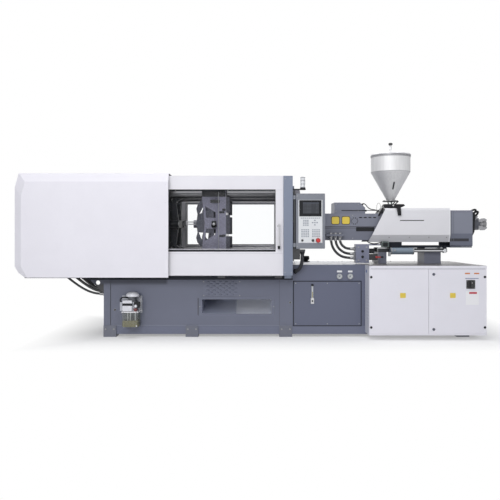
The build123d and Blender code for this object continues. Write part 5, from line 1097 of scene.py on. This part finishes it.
# Control panel: cast housing with a light key field, a dark screen in a raised bezel, grey keys
# with a domed edge, an emergency stop on its collar, and screws in the corners.
dress(enamel("panel casting", (0.19, 0.203, 0.238), 0.4), "control_panel")
field = Finish("key field")
glow_rows = field.z.wave(0.0148).short(0.0022, 0.001) * field.noise(60, 2, 0.5,
    stretch=(1, 1, 0.02)).past(0.47, 0.04)
in_display = field.x.inside(0.437, 0.607) * field.z.inside(1.339, 1.457)
in_screen = field.x.inside(0.401, 0.63) * field.z.inside(1.312, 1.475)
top_bar = field.z.inside(1.443, 1.457) * field.x.inside(0.437, 0.607)
shown = field.blend(glow_rows * 0.5, (0.048, 0.051, 0.06), (0.13, 0.14, 0.16))
shown = field.blend(top_bar * 0.5, shown, (0.09, 0.1, 0.13))
plastic = field.blend(field.noise(3, 2), (0.73, 0.745, 0.765), (0.77, 0.785, 0.8))
key_tops = field.y.short(-0.6108) * (1 - in_screen)
plastic = field.blend(key_tops, plastic, (0.31, 0.33, 0.38))
plastic = field.blend(in_screen, plastic, (0.01, 0.011, 0.014))
field_colour = field.blend(in_display, plastic, shown)
dress(field.done(field.shader(field_colour, 0.42 + 0.1 * in_screen, height=field.noise(600, 2), lift=0.0002,
    strength=0.08, specular_ior_level=0.2)), "panel_face")
bezel = Part("panel_bezel", "control_panel", "black_plastic", black_plastic, zinc,
    enamel("field edge", (0.56, 0.57, 0.6), 0.45))
bezel.strips((((0.3975, 1.4735), (0.6335, 1.4795)), ((0.3975, 1.308), (0.6335, 1.314)),
    ((0.3975, 1.308), (0.4035, 1.4795)), ((0.6275, 1.308), (0.6335, 1.4795))), -0.6125, -0.6085, 0.001)
bezel.strips((((0.388, 1.479), (0.643, 1.483)), ((0.388, 1.026), (0.643, 1.03)),
    ((0.387, 1.026), (0.391, 1.483)), ((0.64, 1.026), (0.644, 1.483))), -0.6112, -0.6099, 0.0004, 2)
for x, radius in ((0.597, 25.5), (0.542, 16.5), (0.43, 14.5)):
    bezel.turned([(9.8, 0), (radius, 0), (radius, 0.4), (radius - 1, 0.7), (9.8, 0.7), (9.8, 0)],
        (x, -0.6101, 1.053), FRONT, int(radius < 20), 36)
bezel.close()
screws("panel_screws", grid((0.376, 0.658), -0.61, (0.99, 1.526)), "control_panel", 0.0045, 0.0015)
screws("panel_back_screws", grid((0.385, 0.649), -0.52, (0.99, 1.526)), "control_panel", 0.005, 0.003,
    facing=BACK)
repeat("panel_back_louvres", hoods, grid(0.517, -0.52, [1.36 + 0.024 * k for k in range(6)]),
    "control_panel", "panel_grey", Length=0.12, Width=0.012, Rise=0.005, Facing=BACK, Finish=black_plastic)
dress(enamel("stop red", (0.55, 0.02, 0.02), 0.3), "emergency_stop")
dress(enamel("button black", (0.02, 0.02, 0.022), 0.35), "start_button", "main_switch_grip",
    "panel_key_switch")
key_slot = Part("key_switch_slot", "panel_key_switch", "black_plastic", black_plastic)
key_slot.block((0.4285, -0.6224, 1.046), (0.4315, -0.6214, 1.06), 0.0003)
key_slot.close()

# Signal beacon: three clear ribbed lenses between grey rings on a black foot, with a flat cap. It
# stands on a black bracket over the control panel.
beacon_at = (0.438, -0.58)
beacon = Part("beacon_stack", "base", "beacon_plastic", enamel("lens plastic", (0.7, 0.71, 0.73), 0.18),
    enamel("beacon ring", (0.3, 0.31, 0.34), 0.4), black_plastic)
beacon.block((0.33, -0.6, 1.59), (0.468, -0.56, 1.602), 0.002, 2)
beacon.turned([(30, 0), (30, 10), (27, 13)], (*beacon_at, 1.602), UP, 2, 40)
level, tier_height = 1.615, 0.0352
for _ in range(3):
    beacon.turned([(26.5, 0), (26.5, 5)], (*beacon_at, level), UP, 1, 40)
    beacon.turned([(26.2 if k % 2 else 24.8, 30.2 * k / 8) for k in range(9)], (*beacon_at, level + 0.005),
        UP, 0, 40)
    level += tier_height
beacon.turned([(26.8, 0), (26.8, 4), (22, 8), (0, 8.2)], (*beacon_at, level), UP, 1, 40)
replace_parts(beacon.close(), "signal_beacon")

# Electrical cabinet: pale coated doors with black hinge screws and steel quarter-turn locks, blank
# plates on the doors and round the main switch, and louvres in both ends.
cabinet_coat = (0.8, 0.79, 0.85)
door_front = -0.65
cabinet_accents = ((lambda f: f.z.past(0.7822) * f.y.past(-0.6475), (0.115, 0.11, 0.114), 0.5),
    (lambda f: f.x.short(1.1325), (0.6, 0.61, 0.67), 0.42),
    (lambda f: f.y.past(-0.6295) * f.z.inside(0.056, 0.783) * f.x.inside(1.1352, 2.3668), (0.5, 0.5, 0.52),
    0.5))
dress(enamel("cabinet coat", cabinet_coat, 0.44, dust=0.05, accents=cabinet_accents), "cabinet_body")
dress(enamel("cabinet door coat", cabinet_coat, 0.44, dust=0.05,
    accents=((lambda f: f.y.short(door_front - 0.0002), (0.016, 0.016, 0.018), 0.45),)),
    "left_cabinet_door", "right_cabinet_door")
for name, body, places in (("left_hinge_screws", "left_cabinet_door",
        grid(1.152, door_front, (0.136, 0.666))),
        ("right_hinge_screws", "right_cabinet_door", grid(2.35, door_front, (0.137, 0.668)))):
    repeat(name, socket_heads, places, body, "black_plastic", Radius=0.013, Height=0.003,
        Finish=black_plastic)
for name, body, x in (("left_blank_plate", "left_cabinet_door", 1.486),
        ("right_blank_plate", "right_cabinet_door", 2.012)):
    blank = Part(name, body, "door_paint", yellow)
    blank.cut(rounded((x - 0.03, 0.447), (x + 0.03, 0.5), 0.006), (door_front - 0.0012, door_front),
        edge=0.0004)
    blank.close()
dress(enamel("lock steel", (0.1, 0.105, 0.14), 0.35), "upper_door_lock", "lower_door_lock")
for name, body, z in (("upper_lock_slot", "upper_door_lock", 0.696),
        ("lower_lock_slot", "lower_door_lock", 0.116)):
    key_face = Part(name, body, "zinc_steel", black_plastic)
    key_face.block((1.8045, -0.6546, z - 0.0015), (1.8175, -0.6538, z + 0.0015), 0.0003)
    key_face.close()
tags = Part("switch_blank_tags", "right_cabinet_door", "door_paint",
    enamel("tag orange", (0.6, 0.2, 0.05), 0.45), enamel("tag grey blue", (0.22, 0.26, 0.38), 0.45),
    enamel("tag face", (0.86, 0.86, 0.88), 0.4), enamel("tag red", (0.5, 0.05, 0.07), 0.45))
for low, high, finish in (((2.139, 0.6985), (2.193, 0.712), 0), ((2.236, 0.6985), (2.29, 0.712), 0),
        ((2.142, 0.649), (2.284, 0.657), 1), ((2.15, 0.375), (2.286, 0.52), 2),
        ((2.184, 0.49), (2.266, 0.51), 3)):
    proud = 0.0012 if finish == 3 else 0.0008
    tags.cut(rounded(low, high, 0.002), (door_front - proud, door_front + 0.0002), edge=0.0002,
        finish=finish)
tags.close()
grip_mark = Part("main_switch_mark", "main_switch_grip", "black_plastic",
    enamel("mark white", (0.72, 0.72, 0.72), 0.4))
grip_mark.block((2.1985, -0.6906, 0.6), (2.2015, -0.6895, 0.617), 0.0004)
grip_mark.close()
switch_screws = [(2.2 + s * 0.038, -0.654, 0.59 + u * 0.038) for s in (-1, 1) for u in (-1, 1)]
screws("switch_plate_screws", switch_screws, "right_cabinet_door", 0.0035, 0.0012)
tab = Part("cabinet_trim", "base", "cover_paint", enamel("tab blue", (0.05, 0.12, 0.36), 0.4),
    enamel("door gap", (0.24, 0.24, 0.28), 0.6))
tab.block((1.1295, -0.52, 0.706), (1.132, -0.485, 0.736), 0.0006)
tab.block((1.145, -0.6506, 0.751), (2.357, -0.649, 0.755), 0.0004, 1)
tab.close()
louvre_heights = [0.22 + 0.035 * k for k in range(8)]
repeat("cabinet_left_louvres", hoods, grid(1.132, (-0.6, -0.54), louvre_heights), "base", "cover_paint",
    Length=0.012, Width=0.046, Rise=0.004, Facing=LEFT,
    Finish=enamel("louvre shade", (0.52, 0.53, 0.59), 0.45))
repeat("cabinet_right_louvres", hoods, grid(2.37, (-0.585, -0.525), louvre_heights), "base", "cover_paint",
    Length=0.012, Width=0.046, Rise=0.004, Facing=RIGHT,
    Finish=enamel("right louvre coat", (0.66, 0.66, 0.7), 0.45))

# Parts chute and bed joints: the chute's sheet-steel frame as thin strips, its top and bottom edges painted
# lighter as painted highlight and its sides darker as painted shade, and the dark gaps beside it where it
# is let into the bed.
frame_line = Part("chute_frame", "base", "bed_paint",
    enamel("chute frame highlight", (0.165, 0.178, 0.24), 0.42, dust=0.1),
    enamel("chute frame shade", (0.055, 0.06, 0.085), 0.5, dust=0.1))
for low, high, finish in (((-0.69, 0.4175), (0.146, 0.422), 0), ((-0.69, 0.2363), (0.146, 0.2408), 0),
        ((-0.69, 0.2363), (-0.6845, 0.422), 1), ((0.1405, 0.2363), (0.146, 0.422), 1),
        ((-0.697, 0.2345), (-0.69, 0.422), 1), ((0.146, 0.16), (0.1485, 0.422), 0),
        ((-0.69, 0.23), (0.146, 0.2335), 1), ((0.195, 0.124), (0.1975, 0.63), 1)):
    frame_line.strips([(low, high)], -0.4372, -0.4345, 0.0006, finish)
frame_line.close()

# Lubrication pump: grey body with a white domed filler cap, black handle, gauge button, red relief
# valve and steel outlet pipe, over a clear reservoir with its suction tubes standing in oil.
dress(enamel("pump body", (0.44, 0.455, 0.5), 0.4,
    accents=((lambda f: f.z.inside(0.3925, 0.4505) * f.y.short(-0.4435), (0.1, 0.105, 0.12), 0.45),
    (lambda f: f.z.inside(0.2815, 0.2945), (0.72, 0.72, 0.74), 0.4),)), "lube_pump")
pump_white = enamel("pump white", (0.7, 0.705, 0.75), 0.38)
relief_red = enamel("relief red", (0.2, 0.055, 0.055), 0.45)
pump = Part("pump_fittings", "base", "pump_grey", pump_white, black_plastic, relief_red, zinc)
pump.turned([(66, 0), (70, 4), (70, 20), (66, 28), (52, 40), (30, 47), (0, 49)], (-1.389, -0.515, 0.449),
    UP, 0, 48)
pump.cut(rounded((-1.484, 0.299), (-1.384, 0.412), 0.008), (-0.586, -0.56), edge=0.003)
pump.block((-1.486, -0.5875, 0.356), (-1.382, -0.56, 0.382), 0.001, 1)
pump.cut(rounded((-1.368, 0.33), (-1.3, 0.398), 0.02), (-0.575, -0.54), edge=0.004, finish=1)
pump.turned([(12, 0), (13, 2), (12, 8), (0, 9)], (-1.345, -0.575, 0.352), FRONT, 0, 28)
pump.turned([(16, 0), (16, 12), (22, 14), (22, 30), (0, 34)], (-1.352, -0.555, 0.294), UP, 2, 20)
pump.rod([(-1.31, -0.545, 0.294), (-1.302, -0.545, 0.32), (-1.3, -0.545, 0.42), (-1.302, -0.53, 0.446),
    (-1.32, -0.49, 0.448), (-1.33, -0.47, 0.448)], 0.0055, 3)
pump.rod([(-1.44, -0.515, 0.436), (-1.48, -0.53, 0.446), (-1.512, -0.545, 0.432), (-1.516, -0.552, 0.398),
    (-1.494, -0.556, 0.372)], 0.0075, 1)
pump.close()
screws("pump_screws", grid((-1.474, -1.334), -0.59, 0.288), "base", 0.0045, 0.0025)
tubes = Part("reservoir_tubes", "base", "reservoir_plastic", pump_white,
    enamel("reservoir oil", (0.19, 0.165, 0.06), 0.15), black_plastic)
for x in (-1.44, -1.413, -1.36):
    tubes.turned([(6, 0), (6, 132)], (x, -0.52, 0.149), UP, 0, 16)
tubes.turned([(16, 0), (16, 20), (10, 24)], (-1.413, -0.52, 0.131), UP, 2, 20)
tubes.cut(rounded((-1.4885, -0.5855), (-1.3195, -0.4475), 0.022), (0.1295, 0.196), 0.002, 1, flat=True)
tubes.turned([(7, 0), (7, 2)], (-1.334, -0.588, 0.141), FRONT, 0, 16)
tubes.close()

# Left end of the bed: a black stiffener plate of cut sheet, under which the pump hoses leave for
# the clamp.
stiffener = Part("left_end_stiffener", "base", "black_paint", black_plastic)
stiffener.cut([(-1.985, 0.65), (-1.872, 0.65), (-1.842, 0.604), (-1.836, 0.56), (-1.79, 0.528),
    (-1.724, 0.512), (-1.724, 0.496), (-1.8, 0.506), (-1.9, 0.57)], (-0.398, -0.39), edge=0.002)
stiffener.close()

# Back of the bed: bolted access covers with lift handles, a louvred cooler panel, drain plugs, a
# plate of cable glands, and the oil tank's filler breather on the bed's top.
back_coat = enamel("back cover enamel", (0.15, 0.164, 0.228), 0.42, dust=0.1)
back = Part("bed_back_covers", "base", "bed_paint", back_coat, black_plastic, zinc)
back_covers = ((-1.45, -1.00, 0.19, 0.53), (-0.62, 0.06, 0.19, 0.53), (0.44, 0.96, 0.19, 0.66),
    (1.32, 1.78, 0.16, 0.66))
for left, right, low, high in back_covers:
    back.cut(rounded((left, low), (right, high), 0.02), (bed_back, bed_back + 0.004), edge=0.001)
for left, right, low, high in back_covers[:2]:
    middle = (left + right) / 2
    back.rod([(middle - 0.06, 0.437, high - 0.07), (middle - 0.06, 0.462, high - 0.07),
        (middle + 0.06, 0.462, high - 0.07), (middle + 0.06, 0.437, high - 0.07)], 0.0055, 1)
for x in (-1.56, -0.12, 1.1):
    back.turned([(20, 0), (20, 6), (13, 8), (13, 20)], (x, bed_back, 0.155), BACK, 2, 6)
back.cut(rounded((2.02, 0.2), (2.28, 0.34), 0.008), (bed_back, bed_back + 0.005), edge=0.001, finish=2)
for x in (2.06, 2.12, 2.18, 2.24):
    for z in (0.235, 0.305):
        back.turned([(19, 0), (19, 6), (15, 8), (15, 22), (10, 26)], (x, 0.44, z), BACK, 1, 6)
back.close()
corner_screws = [(x, 0.439, z) for left, right, low, high in back_covers
    for x in (left + 0.025, (left + right) / 2, right - 0.025) for z in (low + 0.025, high - 0.025)]
screws("back_cover_screws", corner_screws, "base", 0.008, facing=BACK, sides=6)
repeat("back_louvres", hoods, grid((0.58, 0.7, 0.82), 0.439, [0.27 + 0.04 * k for k in range(8)])
    + grid((1.44, 1.55, 1.66), 0.439, [0.24 + 0.04 * k for k in range(9)]), "base", "bed_paint",
    Length=0.09, Width=0.018, Rise=0.008, Facing=BACK, Finish=back_coat)
breather = Part("tank_breather", "base", "black_plastic", black_plastic, zinc)
breather.turned([(48, 0), (48, 6), (30, 8), (30, 22), (42, 24), (44, 30), (44, 62), (36, 70), (0, 72)],
    (0.56, 0.33, 0.786), UP, 0, 40)
for x, y in ring((0.56, 0.33), 0.041, 6):
    breather.turned([(4, 0), (4, 3)], (x, y, 0.792), UP, 1, 8)
breather.close()
screws("bed_top_screws", grid([0.42 + 0.3 * k for k in range(7)], (-0.405, 0.405), 0.786), "base", 0.007,
    facing=UP)
